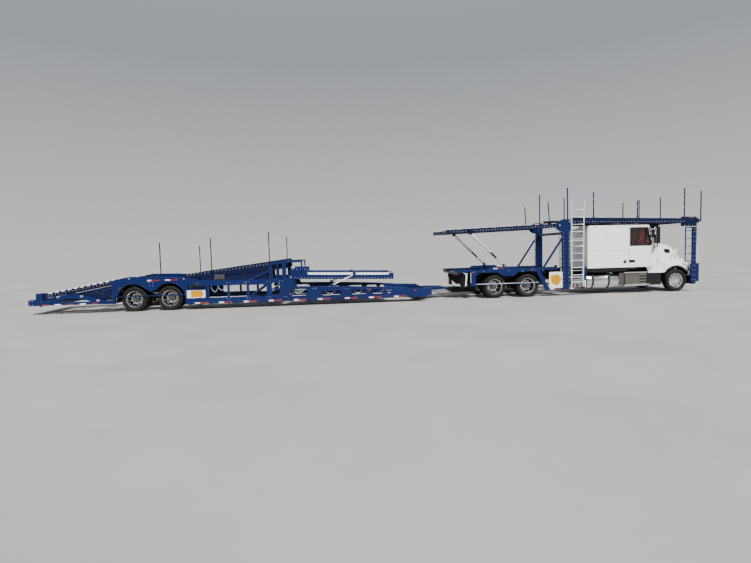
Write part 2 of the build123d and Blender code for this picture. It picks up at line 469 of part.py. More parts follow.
# ---- trailer frame: deep side plates with openings, low floor, tower, tongue, tail ----------------------------------------
front_plate = [(-9965, 250), (-9965, 410), (-10150, 492), (-10990, 525), (-11940, 608), (-13440, 680), (-15000, 720), (-15160, 1010), (-17400, 1030),
               (-18500, 1075), (-18900, 1175), (-19300, 1190), (-20000, 1245), (-20990, 1262), (-21540, 1150), (-21560, 1030), (-21470, 590)]
front_plate += arc_points(560, 165, 40, 8, TRAILER_X[1], AXLE_Z) + [(-20210, 700)] + arc_points(560, 140, -5, 8, TRAILER_X[0], AXLE_Z)
front_plate += [(-19030, 200), (-10460, 170), (-10240, 170)]


def oval(x0, x1, z0, z1):
    c = (z1 - z0) * 0.35
    return [(x0 + c, z0), (x1 - c, z0), (x1, z0 + c), (x1, z1 - c), (x1 - c, z1), (x0 + c, z1), (x0, z1 - c), (x0, z0 + c)]


side_holes = [[(-18960, 740), (-18330, 740), (-18330, 900), (-18960, 900)], oval(-15320, -14630, 375, 617), oval(-14130, -13390, 360, 515), oval(-13050, -12450, 360, 510), oval(-12260, -11820, 355, 500), oval(-11690, -11500, 355, 490),
              [(-18200, 420), (-17540, 420), (-17540, 850), (-18200, 850)], [(-17460, 420), (-16850, 420), (-16850, 850), (-17460, 850)],
              [(-16760, 830), (-16760, 420), (-16210, 830)], [(-16700, 400), (-16130, 400), (-16130, 810)],
              [(-15940, 430), (-15660, 430), (-15660, 620), (-15940, 620)], [(-15940, 680), (-15660, 680), (-15660, 880), (-15940, 880)]]
DECK_PINS = [FRONT_DECK_HINGE + (26,), BACK_DECK_HINGE + (26,), RAMP_HINGE + (24,)]
TAIL_SIDE = [(-24000, 345), (-24000, 515), (-23600, 515), (-23262, 679), (-22823, 699), (-22456, 632), (-22189, 551), (-21856, 440), (-21470, 440), (-21470, 307), (-22100, 315)]
TAIL_GAP = [(-23500, 455), (-23168, 560), (-22900, 565), (-22500, 500), (-22300, 430), (-23400, 430)]
sides = []
for s in (-1, 1):
    outer = (1250, HALF_W) if s > 0 else (-HALF_W, -1250)
    sides.append(plate(front_plate, outer, side_holes))
    # floor tracks between the side plates
    sides += [block((-18900, -10460), (s * 560, s * 1255), (215, 240)), block((-18900, -10460), (s * 545, s * 565), (185, 290))]
    # over the wheels, with the tracks carried inboard at deck height
    sides += [block((-20900, -19130), (s * 560, s * 1255), (1040, 1065)), block((-20900, -19130), (s * 545, s * 565), (985, 1115))]
    # a fixed upper floor under the back deck
    sides += [block((-18900, -15480), (s * 560, s * 1205), (985, 1008)), block((-18900, -15480), (s * 545, s * 565), (940, 1060))]
    sides += [block((-18900, -15480), (s * 1190, s * 1205), (940, 1060))]
    sides += [block((-21480, -18860), (s * 380, s * 470), (620, 760))]
    sides += [block((x - 360, x + 260), (s * 465, s * 640), (640, 690)) for x in TRAILER_X]
    # tower behind the forward deck
    sides += [block((-16020, -15900), (s * 1212, s * HALF_W), (900, 1610)), block((-15545, -15400), (s * 1212, s * HALF_W), (900, 1650)),
              block((-15740, -15700), (s * 1240, s * HALF_W), (1000, 1600))]
    sides += [plate([(-16020, 1530), (-16020, 1600), (-15500, 1668), (-15250, 1668), (-15250, 1600), (-15500, 1600)], (1212, HALF_W) if s > 0 else (-HALF_W, -1212)),
              bar((-15960, s * 1251, 1350), (-16740, s * 1251, 1010), 60, 70)]
    # an arm forward of the tower's head
    sides += [block((-15300, -14800), (s * 1240, s * HALF_W), (1610, 1668)), block((-14855, -14800), (s * 1240, s * HALF_W), (1390, 1668))]
    sides += [block((-15330, -15160), (s * 1250, s * HALF_W), (880, 1130))]
    # tail: arched side frames, guard bar
    sides += [plate(TAIL_SIDE, (1215, HALF_W) if s > 0 else (-HALF_W, -1215), [TAIL_GAP]), block((-21560, -21470), (s * 1215, s * HALF_W), (320, 1000)),
              rod((-21500, s * 1270, 548), (-18880, s * 1270, 556), 16)]
    sides += [bar((-21460, s * 425, 690), (-22300, s * 425, 380), 80, 120), block((-22440, -22360), (s * 385, s * 465), (330, 470))]
    # foot of the forward deck's strut
    sides += [block((-13790, -13690), (s * 1183, s * 1255), (620, 648)), block((-13790, -13690), (s * 1183, s * 1195), (620, 765)), block((-13790, -13690), (s * 1269, s * 1281), (620, 765)),
              rod((T_STRUT_FOOT[0], s * 1188, T_STRUT_FOOT[1]), (T_STRUT_FOOT[0], s * 1276, T_STRUT_FOOT[1]), 15)]
sides += [block((x - 45, x + 45), (-1255, 1255), (180, 235)) for x in (-18880, -17500, -16100, -14700, -13300, -11900, -10500)]
sides += [block((x - 45, x + 45), (-1255, 1255), (955, 1045)) for x in (-19175, -20210, -20855)]
sides += [block((x - 45, x + 45), (-1255, 1255), (900, 990)) for x in (-18400, -17480, -16560)] + [block((-15560, -15490), (-1255, 1255), (900, 990))]
sides += [block((x - 45, x + 45), (-1255, 1255), (640, 720)) for x in (-18900, -21515)]
sides += [block((-18925, -18885), (-1255, 1255), (180, 1000)) - block((-19000, -18800), (-520, 520), (300, 600))]
sides += [block((x - 40, x + 40), (s * 385, s * 465), (750, 960)) for x in (-19175, -20210, -20855) for s in (-1, 1)]
sides += [block((x - 45, x + 45), (-1220, 1220), (330, 410)) for x in (-21515, -22400, -23545)]
sides += [block((-24410, -23950), (-HALF_W, HALF_W), (332, 540)), block((-24190, -23990), (-1200, -860), (535, 760)), block((-24190, -23990), (860, 1200), (535, 760))]
# tail lugs, each with an eye
sides += [block((-24400, -24310), (s * 600, s * 640), (240, 340)) for s in (-1, 1)]
# tongue: from the full width, tapering to the pivot plate that lies on the truck's plate
sides += [slab([(-10500, -HALF_W), (-10500, HALF_W), (-9960, 620), (-9960, -620)], (230, 310)),
          slab([(-10500, -HALF_W), (-10500, -1150), (-9960, -500), (-9960, -620)], (305, 430)), slab([(-10500, HALF_W), (-10500, 1150), (-9960, 500), (-9960, 620)], (305, 430)),
          slab([(-10000, -620), (-10000, 620), (-9300, 330), (-8900, 330), (-8560, 190), (-8560, -190), (-8900, -330), (-9300, -330)], (345.2, 405)),
          slab([(-10020, -620), (-10020, 620), (-9940, 600), (-9940, -600)], (230, 405)),
          slab([(-9970, -600), (-9970, -470), (-9250, -240), (-9250, -330)], (400, 450)), slab([(-9970, 600), (-9970, 470), (-9250, 240), (-9250, 330)], (400, 450)),
          rod((PIVOT_X, 0, 215), (PIVOT_X, 0, 425), 25.4)]
trailer_frame = join(sides)
for s in (-1, 1):
    for x, z, r in DECK_PINS:
        trailer_frame = trailer_frame - rod((x, s * 1240, z), (x, s * 1300, z), r + FIT)
    trailer_frame = trailer_frame - rod((-24355, s * 590, 280), (-24355, s * 650, 280), 16)
write("trailer_frame", trailer_frame)
T_POSTS = [(-19847, -1, 1230, 2445), (-18063, -1, 1040, 2579), (-15985, -1, 1590, 2746), (-19093, 1, 1170, 2341), (-15544, 1, 1640, 2621)]
write("trailer_stanchions", [rod((x, s * 1270, z0), (x, s * 1270, z1), 19) - trailer_frame for x, s, z0, z1 in T_POSTS])

# ---- trailer decks ----------------------------------------------------------------------------------------------------------
fd = deck(40, 3830, 1165, (-75, -75), (150, 150), 5, drop=2)
fd += trunnions(26, 1100, 1286, 120, -50, 120, 1165)
fd += [block((2290, 2390), (s * 1155, s * 1282), (180, 192)) for s in (-1, 1)] + [block((2290, 2390), (s * 1153, s * 1165), (100, 192)) for s in (-1, 1)]
fd += [block((2290, 2390), (s * a, s * b), (50, 192)) for s in (-1, 1) for a, b in ((1183, 1195), (1270, 1282))]
fd += [block((-20, 590), (s * 1085, s * 1165), (60, 325)) for s in (-1, 1)]
write("trailer_front_deck", placed(fd, FRONT_DECK_HINGE, FRONT_DECK_TILT))
bd = deck(40, 3740, 1170, (-40, -190), (155, 155), 5)
bd += trunnions(26, 1100, 1286, 120, -45, 110, 1170)
bd += [block((3180, 3280), (s * 1165, s * 1205), (-60, 60)) for s in (-1, 1)]
write("trailer_back_deck", placed(bd, BACK_DECK_HINGE, -BACK_TILT))
tail = deck(30, 2985, 1170, (-60, -60), (70, 70), 5)
tail += trunnions(24, 1100, 1286, 100, -50, 60, 1170)
write("tail_ramp", placed(tail, RAMP_HINGE, RAMP_TILT, back=True))
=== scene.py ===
import bpy, math
from mathutils import Vector, Matrix


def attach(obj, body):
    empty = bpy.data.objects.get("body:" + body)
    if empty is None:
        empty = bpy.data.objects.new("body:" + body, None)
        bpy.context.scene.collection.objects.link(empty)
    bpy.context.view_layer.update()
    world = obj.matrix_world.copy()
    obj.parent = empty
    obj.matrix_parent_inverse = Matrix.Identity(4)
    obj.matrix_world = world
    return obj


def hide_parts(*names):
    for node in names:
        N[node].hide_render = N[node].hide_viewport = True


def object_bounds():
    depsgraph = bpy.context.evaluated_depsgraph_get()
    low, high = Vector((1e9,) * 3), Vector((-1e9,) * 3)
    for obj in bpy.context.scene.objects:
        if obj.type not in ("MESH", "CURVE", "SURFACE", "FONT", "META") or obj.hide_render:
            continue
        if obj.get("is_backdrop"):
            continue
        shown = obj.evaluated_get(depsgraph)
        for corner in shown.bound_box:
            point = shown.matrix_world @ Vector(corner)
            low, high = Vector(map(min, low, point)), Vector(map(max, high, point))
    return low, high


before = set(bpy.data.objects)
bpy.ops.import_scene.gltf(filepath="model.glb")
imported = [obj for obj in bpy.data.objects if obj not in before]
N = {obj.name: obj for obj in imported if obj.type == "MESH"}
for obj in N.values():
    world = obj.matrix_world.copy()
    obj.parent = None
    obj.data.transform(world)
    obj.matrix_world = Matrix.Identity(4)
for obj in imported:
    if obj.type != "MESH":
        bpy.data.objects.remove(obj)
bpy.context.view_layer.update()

XS = 11.7015            # x of the front axle in the frame; x below is measured from it
SIDES = ((-1, "right"), (1, "left"))


# ---------------------------------------------------------------- mesh building
class Mesh:
    """Collects vertices and faces, each face with a material number."""

    def __init__(self):
        self.v, self.f, self.m = [], [], []

    def add(self, verts, faces, m=0):
        k = len(self.v)
        self.v += [tuple(p) for p in verts]
        self.f += [tuple(k + i for i in face) for face in faces]
        self.m += [m] * len(faces)
        return self

    def box(self, x, y, z, m=0, c=0.0):
        """A box from (low, high) pairs, with its edges cut back by c."""
        x, y, z = sorted(x), sorted(y), sorted(z)
        if c <= 0:
            p = [(a, b, d) for a in x for b in y for d in z]
            return self.add(p, [(0, 1, 3, 2), (4, 6, 7, 5), (0, 4, 5, 1), (2, 3, 7, 6), (0, 2, 6, 4), (1, 5, 7, 3)], m)
        p, ids = [], {}
        for i in (0, 1):
            for j in (0, 1):
                for k in (0, 1):
                    a, b, d = x[i], y[j], z[k]
                    sx, sy, sz = (c if i == 0 else -c), (c if j == 0 else -c), (c if k == 0 else -c)
                    for n, q in enumerate(((a, b + sy, d + sz), (a + sx, b, d + sz), (a + sx, b + sy, d))):
                        ids[i, j, k, n] = len(p)
                        p.append(q)
        f = []
        for i in (0, 1):
            q = [ids[i, 0, 0, 0], ids[i, 1, 0, 0], ids[i, 1, 1, 0], ids[i, 0, 1, 0]]
            f.append(tuple(q if i else q[::-1]))
            q = [ids[0, i, 0, 1], ids[1, i, 0, 1], ids[1, i, 1, 1], ids[0, i, 1, 1]]
            f.append(tuple(q[::-1] if i else q))
            q = [ids[0, 0, i, 2], ids[1, 0, i, 2], ids[1, 1, i, 2], ids[0, 1, i, 2]]
            f.append(tuple(q if i else q[::-1]))
        for i in (0, 1):
            for j in (0, 1):
                f.append((ids[i, j, 0, 0], ids[i, j, 1, 0], ids[i, j, 1, 1], ids[i, j, 0, 1]))
                f.append((ids[i, 0, j, 0], ids[i, 1, j, 0], ids[i, 1, j, 2], ids[i, 0, j, 2]))
                f.append((ids[0, i, j, 1], ids[1, i, j, 1], ids[1, i, j, 2], ids[0, i, j, 2]))
                for k in (0, 1):
                    f.append((ids[i, j, k, 0], ids[i, j, k, 1], ids[i, j, k, 2]))
        return self.add(p, f, m)

    def prism(self, pts, y, m=0):
        """A polygon of (x, z) points over y = (low, high)."""
        n = len(pts)
        p = [(a, y[0], b) for a, b in pts] + [(a, y[1], b) for a, b in pts]
        return self.add(p, [tuple(range(n)), tuple(range(2 * n - 1, n - 1, -1))] + [(i, n + i, n + (i + 1) % n, (i + 1) % n) for i in range(n)], m)

    def slab(self, pts, z, m=0):
        """A polygon of (x, y) points over z = (low, high)."""
        n = len(pts)
        p = [(a, b, z[0]) for a, b in pts] + [(a, b, z[1]) for a, b in pts]
        return self.add(p, [tuple(range(n - 1, -1, -1)), tuple(range(n, 2 * n))] + [(i, (i + 1) % n, n + (i + 1) % n, n + i) for i in range(n)], m)

    def rod(self, a, b, r, m=0, n=14, r2=None, caps=True):
        a, b = Vector(a), Vector(b)
        d = (b - a).normalized()
        s = d.orthogonal().normalized()
        t = d.cross(s)
        r2 = r if r2 is None else r2
        p = [a + (s * math.cos(2 * math.pi * i / n) + t * math.sin(2 * math.pi * i / n)) * r for i in range(n)]
        p += [b + (s * math.cos(2 * math.pi * i / n) + t * math.sin(2 * math.pi * i / n)) * r2 for i in range(n)]
        f = [(i, (i + 1) % n, n + (i + 1) % n, n + i) for i in range(n)]
        if caps:
            f += [tuple(range(n - 1, -1, -1)), tuple(range(n, 2 * n))]
        return self.add(p, f, m)

    def pipe(self, pts, r, m=0, n=10):
        """A tube along points."""
        pts = [Vector(p) for p in pts]
        rings, last = [], None
        for i, p in enumerate(pts):
            d = (pts[min(i + 1, len(pts) - 1)] - pts[max(i - 1, 0)]).normalized()
            s = (last - d * last.dot(d)).normalized() if last is not None else d.orthogonal().normalized()
            last = s
            t = d.cross(s)
            rings.append([p + (s * math.cos(2 * math.pi * k / n) + t * math.sin(2 * math.pi * k / n)) * r for k in range(n)])
        f = []
        for i in range(len(pts) - 1):
            f += [(i * n + k, i * n + (k + 1) % n, (i + 1) * n + (k + 1) % n, (i + 1) * n + k) for k in range(n)]
        f += [tuple(range(n - 1, -1, -1)), tuple(range((len(pts) - 1) * n, len(pts) * n))]
        return self.add([q for ring in rings for q in ring], f, m)

    def lathe(self, profile, c, n=64, m=0, side=1, axis="y", closed=True, mats=None):
        """(radius, along) points turned about the line through c along an axis. side = -1 mirrors along it."""
        k = len(profile)
        p = []
        for i in range(n):
            a = 2 * math.pi * i / n
            u, w = math.cos(a), math.sin(a)
            for r, t in profile:
                t = t * side
                p.append({"y": (c[0] + r * u, c[1] + t, c[2] + r * w), "x": (c[0] + t, c[1] + r * u, c[2] + r * w), "z": (c[0] + r * u, c[1] + r * w, c[2] + t)}[axis])
        last = k if closed else k - 1
        for j in range(last):
            faces = []
            for i in range(n):
                q = (i * k + j, ((i + 1) % n) * k + j, ((i + 1) % n) * k + (j + 1) % k, i * k + (j + 1) % k)
                faces.append(q if side > 0 else q[::-1])
            self.f += [tuple(len(self.v) + x for x in q) for q in faces]
            self.m += [mats[j] if mats else m] * len(faces)
        self.v += p
        return self

    def dome(self, c, r, h, m=0, n=20, rings=5, axis="y", side=1):
        prof = [(max(r * math.cos(math.pi / 2 * j / rings), 1e-4), h * math.sin(math.pi / 2 * j / rings)) for j in range(rings + 1)]
        return self.lathe(prof, c, n, m, side, axis, closed=False)

    def merge(self, other, place=Matrix()):
        k = len(self.v)
        self.v += [tuple(place @ Vector(p)) for p in other.v]
        flipped = place.determinant() < 0
        self.f += [tuple(k + i for i in (f[::-1] if flipped else f)) for f in other.f]
        self.m += other.m
        return self


def piece(name, mesh, mats, body, smooth=30, bevel=0.0, subsurf=0, solidify=0.0, shift=True, weld=0.0, segments=2):
    """Makes the object, in the frame, riding on a body."""
    me = bpy.data.meshes.new(name)
    off = XS if shift else 0.0
    me.from_pydata([(x + off, y, z) for x, y, z in mesh.v], [], mesh.f)
    for m in mats if isinstance(mats, (list, tuple)) else [mats]:
        me.materials.append(m)
    me.polygons.foreach_set("material_index", mesh.m)
    me.validate()
    me.update()
    ob = bpy.data.objects.new(name, me)
    bpy.context.scene.collection.objects.link(ob)
    import bmesh
    bm = bmesh.new()
    bm.from_mesh(me)
    bmesh.ops.remove_doubles(bm, verts=bm.verts, dist=weld or 1e-6)
    bmesh.ops.recalc_face_normals(bm, faces=bm.faces)
    bm.to_mesh(me)
    bm.free()
    if smooth:
        me.polygons.foreach_set("use_smooth", [True] * len(me.polygons))
        me.set_sharp_from_angle(angle=math.radians(smooth))
    if subsurf:
        mod = ob.modifiers.new("subsurf", "SUBSURF")
        mod.levels = mod.render_levels = subsurf
    if solidify:
        mod = ob.modifiers.new("solidify", "SOLIDIFY")
        mod.thickness = solidify
        mod.offset = 0
    if bevel:
        mod = ob.modifiers.new("bevel", "BEVEL")
        mod.width = bevel
        mod.segments = segments
        mod.limit_method = "ANGLE"
        mod.angle_limit = math.radians(35)
        mod.harden_normals = True
    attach(ob, body)
    return ob


# ---------------------------------------------------------------- materials
class Nodes:
    def __init__(self, name):
        self.mat = bpy.data.materials.new(name)
        self.mat.use_nodes = True
        self.t = self.mat.node_tree
        self.t.nodes.clear()
        self.out = self.n("ShaderNodeOutputMaterial")
        self.bsdf = self.n("ShaderNodeBsdfPrincipled")
        self.link(self.bsdf.outputs[0], self.out.inputs[0])
        self.co = self.n("ShaderNodeTexCoord").outputs["Object"]

    def n(self, kind, **props):
        node = self.t.nodes.new(kind)
        for k, v in props.items():
            setattr(node, k, v)
        return node

    def link(self, a, b):
        self.t.links.new(a, b)

    def put(self, socket, value):
        if hasattr(value, "links") or hasattr(value, "is_output"):
            self.link(value, socket)
        else:
            socket.default_value = value

    def math(self, op, a, b=0.0, clamp=False):
        node = self.n("ShaderNodeMath", operation=op, use_clamp=clamp)
        self.put(node.inputs[0], a)
        self.put(node.inputs[1], b)
        return node.outputs[0]

    def noise(self, scale, detail=4, rough=0.55, stretch=None, co=None):
        node = self.n("ShaderNodeTexNoise")
        node.inputs["Scale"].default_value = scale
        node.inputs["Detail"].default_value = detail
        node.inputs["Roughness"].default_value = rough
        co = co or self.co
        if stretch:
            m = self.n("ShaderNodeMapping")
            m.inputs["Scale"].default_value = stretch
            self.link(co, m.inputs["Vector"])
            co = m.outputs[0]
        self.link(co, node.inputs["Vector"])
        return node.outputs["Fac"]

    def span(self, value, a, b, lo=0.0, hi=1.0, smooth=False):
        node = self.n("ShaderNodeMapRange", interpolation_type="SMOOTHSTEP" if smooth else "LINEAR")
        self.put(node.inputs["Value"], value)
        for k, v in (("From Min", a), ("From Max", b), ("To Min", lo), ("To Max", hi)):
            node.inputs[k].default_value = v
        return node.outputs[0]

    def mix(self, fac, a, b, mode="MIX"):
        node = self.n("ShaderNodeMix", data_type="RGBA", blend_type=mode)
        self.put(node.inputs[0], fac)
        for socket, value in ((node.inputs[6], a), (node.inputs[7], b)):
            self.put(socket, value if hasattr(value, "is_output") else (*value, 1.0)[:4])
        return node.outputs[2]

    def xyz(self, co=None):
        node = self.n("ShaderNodeSeparateXYZ")
        self.link(co or self.co, node.inputs[0])
        return node.outputs

    def bump(self, height, distance, strength=1.0, normal=None):
        node = self.n("ShaderNodeBump")
        node.inputs["Strength"].default_value = strength
        node.inputs["Distance"].default_value = distance
        self.put(node.inputs["Height"], height)
        if normal is not None:
            self.link(normal, node.inputs["Normal"])
        return node.outputs[0]


def rgb(*c):
    return c


def paint(name, base, rough=0.35, metal=0.0, vary=0.12, vary_scale=0.8, rough_vary=0.12, grain=0.0006, grain_scale=90.0, dust=0.25, dust_top=1.3,
          dust_color=(0.30, 0.26, 0.21), coat=0.0, edge=0.0, edge_color=(0.55, 0.56, 0.58), round_r=0.0, spots=0.0, spot_color=(0.10, 0.055, 0.03),
          streak=0.0, brushed=None, spec=0.5, sockets=None):
    """A surface with drifting colour, grime that thickens towards the ground, worn edges and fine relief."""
    w = Nodes(name)
    big = w.noise(vary_scale, 3, 0.6)
    fine = w.noise(vary_scale * 14, 5, 0.65)
    dark = tuple(c * (1 - vary) for c in base)
    light = tuple(min(c * (1 + vary) + 0.0006, 1) for c in base)
    colour = w.mix(w.span(big, 0.35, 0.65), dark, light)
    colour = w.mix(w.span(fine, 0.45, 0.8, 0, 0.5), colour, tuple(c * (1 - 0.8 * vary) for c in base))
    roughness = w.span(fine, 0.3, 0.7, max(rough - rough_vary, 0.02), min(rough + rough_vary, 1))
    normal = None
    if round_r:
        b = w.n("ShaderNodeBevel", samples=4)
        b.inputs["Radius"].default_value = round_r
        normal = b.outputs[0]
    if edge:
        b = w.n("ShaderNodeBevel", samples=4)
        b.inputs["Radius"].default_value = 0.012
        g = w.n("ShaderNodeNewGeometry")
        d = w.n("ShaderNodeVectorMath", operation="DOT_PRODUCT")
        w.link(b.outputs[0], d.inputs[0])
        w.link(g.outputs["Normal"], d.inputs[1])
        mask = w.span(d.outputs["Value"], 0.97, 0.80)
        chip = w.span(w.noise(9.0, 6, 0.7), 0.46, 0.62)
        mask = w.math("MULTIPLY", w.math("MULTIPLY", mask, chip), edge, True)
        colour = w.mix(mask, colour, edge_color)
    if spots:
        s = w.math("MULTIPLY", w.span(w.noise(5.5, 7, 0.72), 0.66, 0.72), spots, True)
        colour = w.mix(s, colour, spot_color)
        roughness = w.math("ADD", roughness, w.math("MULTIPLY", s, 0.35), True)
    if streak:
        st = w.noise(2.2, 5, 0.7, stretch=(6.0, 6.0, 0.35))
        k = w.math("MULTIPLY", w.span(st, 0.52, 0.78), streak, True)
        colour = w.mix(k, colour, tuple(0.45 * c + 0.003 for c in base))
    if dust:
        z = w.xyz()[2]
        low = w.span(z, 0.0, dust_top, 1.0, 0.0)
        patch = w.span(w.noise(3.0, 6, 0.7), 0.35, 0.75, 0.15, 1.0)
        k = w.math("MULTIPLY", w.math("MULTIPLY", low, patch), dust, True)
        colour = w.mix(k, colour, dust_color)
        roughness = w.math("ADD", roughness, w.math("MULTIPLY", k, 0.5), True)
    w.link(colour, w.bsdf.inputs["Base Color"])
    w.link(roughness, w.bsdf.inputs["Roughness"])
    w.bsdf.inputs["Metallic"].default_value = metal
    w.bsdf.inputs["Specular IOR Level"].default_value = spec
    if coat:
        w.bsdf.inputs["Coat Weight"].default_value = coat
        w.bsdf.inputs["Coat Roughness"].default_value = 0.08
    for k, v in (sockets or {}).items():
        w.bsdf.inputs[k].default_value = v
    height = w.noise(grain_scale, 4, 0.6, stretch=brushed)
    w.link(w.bump(height, grain, 1.0, normal), w.bsdf.inputs["Normal"])
    return w.mat


M = {}
M["blue"] = paint("blue_paint", (0.0015, 0.0092, 0.070), 0.38, dust=0.08, dust_color=(0.06, 0.054, 0.05), dust_top=0.9, spec=0.22, edge=0.45, edge_color=(0.20, 0.26, 0.38), round_r=0.004, spots=0.4, streak=0.18, vary=0.16)
M["navy"] = paint("navy_paint", (0.0010, 0.0040, 0.032), 0.42, dust=0.05, dust_color=(0.06, 0.055, 0.05), spec=0.18, edge=0.5, edge_color=(0.28, 0.32, 0.40), round_r=0.004, spots=0.4, streak=0.2, vary=0.22)
M["white"] = paint("white_paint", (0.86, 0.88, 0.89), 0.24, vary=0.03, vary_scale=0.5, rough_vary=0.06, dust=0.28, dust_top=1.35, dust_color=(0.42, 0.38, 0.33), coat=0.6, round_r=0.018, streak=0.10, grain=0.0002)
M["black"] = paint("black_frame_paint", (0.006, 0.006, 0.0065), 0.5, spec=0.22, dust=0.2, dust_top=1.1, dust_color=(0.05, 0.044, 0.038), round_r=0.004, spots=0.5, vary=0.3)
M["trim"] = paint("black_moulding", (0.006, 0.006, 0.0065), 0.46, spec=0.25, dust=0.1, dust_color=(0.05, 0.045, 0.04), grain=0.0009, grain_scale=160, vary=0.2, round_r=0.004)
M["polished"] = paint("polished_aluminium", (0.72, 0.73, 0.75), 0.16, 1.0, vary=0.04, rough_vary=0.08, dust=0.25, dust_top=0.9, grain=0.0003, grain_scale=30, brushed=(1.0, 14.0, 14.0))
M["chrome"] = paint("chrome", (0.86, 0.87, 0.88), 0.07, 1.0, vary=0.02, rough_vary=0.04, dust=0.05, grain=0.0001)
M["zinc"] = paint("zinc_plate", (0.70, 0.72, 0.74), 0.38, 0.85, vary=0.12, vary_scale=4, rough_vary=0.12, dust=0.15, grain=0.0004, spots=0.3)
M["ladder"] = paint("ladder_aluminium", (0.74, 0.76, 0.78), 0.33, 0.6, vary=0.06, vary_scale=3, dust=0.12, grain=0.0004, round_r=0.003)
M["cast"] = paint("cast_metal", (0.04, 0.04, 0.043), 0.6, 0.6, dust=0.35, dust_top=1.6, grain=0.002, grain_scale=60, vary=0.3)
M["wheel"] = paint("wheel_polish", (0.66, 0.67, 0.69), 0.13, 1.0, vary=0.05, vary_scale=5, rough_vary=0.07, dust=0.10, dust_top=0.9, dust_color=(0.25, 0.22, 0.19), grain=0.0002, grain_scale=40)
M["wheel_disc"] = paint("wheel_disc", (0.36, 0.365, 0.38), 0.14, 1.0, vary=0.08, vary_scale=5, rough_vary=0.06, dust=0.12, dust_top=0.9, dust_color=(0.12, 0.105, 0.09), grain=0.0002, grain_scale=40)
M["hub"] = paint("hub_metal", (0.13, 0.135, 0.145), 0.3, 1.0, vary=0.15, vary_scale=8, dust=0.3, dust_top=0.9, dust_color=(0.2, 0.17, 0.14), grain=0.0006)
M["amber_panel"] = paint("amber_panel", (0.50, 0.235, 0.0), 0.4, spec=0.1, dust=0.05, vary=0.06, vary_scale=3)
M["white_panel"] = paint("white_panel", (0.78, 0.78, 0.76), 0.4, dust=0.2, vary=0.05, vary_scale=3)
M["mark_red"] = paint("reflective_red", (0.17, 0.008, 0.014), 0.35, spec=0.25, dust=0.25, vary=0.1, vary_scale=6, grain=0.0006, grain_scale=260)
M["mark_white"] = paint("reflective_white", (0.70, 0.71, 0.75), 0.35, dust=0.2, vary=0.05, vary_scale=6, grain=0.0006, grain_scale=260)
M["lens_red"] = paint("red_lens", (0.16, 0.005, 0.005), 0.14, vary=0.06, dust=0.08, coat=0.8, grain=0.001, grain_scale=150)
M["lens_amber"] = paint("amber_lens", (0.26, 0.065, 0.001), 0.14, vary=0.05, dust=0.08, coat=0.8, grain=0.001, grain_scale=150)
M["flap"] = paint("mud_flap", (0.30, 0.31, 0.32), 0.7, dust=0.5, dust_top=1.0, grain=0.001, vary=0.15)
M["flap_black"] = paint("mud_flap_black", (0.008, 0.008, 0.0085), 0.7, spec=0.2, dust=0.25, dust_top=1.0, grain=0.001, vary=0.15)
M["guard"] = paint("guard_bar_paint", (0.26, 0.29, 0.40), 0.34, 0.3, vary=0.35, vary_scale=1.4, dust=0.1, spots=0.5, spot_color=(0.02, 0.03, 0.07), streak=0.6)
# white for the decks' bright parts, used as painted highlight on sunlit tops, flanges and slats
M["deck_white"] = paint("deck_bright", (0.84, 0.85, 0.86), 0.40, 0.0, vary=0.06, vary_scale=2, dust=0.06, spots=0.30)


def rubber():
    w = Nodes("tyre_rubber")
    n1, n2 = w.noise(7, 5, 0.7), w.noise(60, 4, 0.6)
    colour = w.mix(w.span(n1, 0.35, 0.7), (0.005, 0.005, 0.0054), (0.010, 0.0098, 0.0095))
    colour = w.mix(w.span(w.noise(3.0, 4), 0.55, 0.8, 0, 0.3), colour, (0.040, 0.034, 0.029))
    w.bsdf.inputs["Specular IOR Level"].default_value = 0.25
    w.link(colour, w.bsdf.inputs["Base Color"])
    w.link(w.span(n2, 0.3, 0.7, 0.68, 0.9), w.bsdf.inputs["Roughness"])
    w.link(w.bump(n2, 0.0006), w.bsdf.inputs["Normal"])
    return w.mat


def glass(name, tint, rough=0.02, weight=1.0, ripple=0.0):
    w = Nodes(name)
    n = w.noise(1.5, 3)
    w.link(w.mix(w.span(n, 0.3, 0.7), tint, tuple(c * 0.9 for c in tint)), w.bsdf.inputs["Base Color"])
    w.link(w.span(w.noise(9, 5, 0.7), 0.4, 0.8, rough, rough + 0.06), w.bsdf.inputs["Roughness"])
    w.bsdf.inputs["Transmission Weight"].default_value = weight
    w.bsdf.inputs["IOR"].default_value = 1.45
    if ripple:
        w.link(w.bump(w.noise(120, 2), ripple), w.bsdf.inputs["Normal"])
    return w.mat


def fabric(name, base, scale=420.0):
    """A woven cloth: crossed threads, with soft colour change."""
    w = Nodes(name)
    xyz = w.xyz()
    a = w.math("SINE", w.math("MULTIPLY", w.math("ADD", xyz[0], xyz[1]), scale))
    b = w.math("SINE", w.math("MULTIPLY", xyz[2], scale))
    weave = w.math("MULTIPLY", a, b)
    big = w.noise(2.5, 4)
    colour = w.mix(w.span(big, 0.35, 0.65), tuple(c * 0.75 for c in base), base)
    colour = w.mix(w.span(weave, -1, 1, 0.0, 0.35), colour, tuple(min(c * 1.6 + 0.01, 1) for c in base))
    w.link(colour, w.bsdf.inputs["Base Color"])
    w.link(w.span(w.noise(30, 3), 0.3, 0.7, 0.78, 0.95), w.bsdf.inputs["Roughness"])
    w.bsdf.inputs["Sheen Weight"].default_value = 0.25
    w.link(w.bump(weave, 0.0005), w.bsdf.inputs["Normal"])
    return w.mat


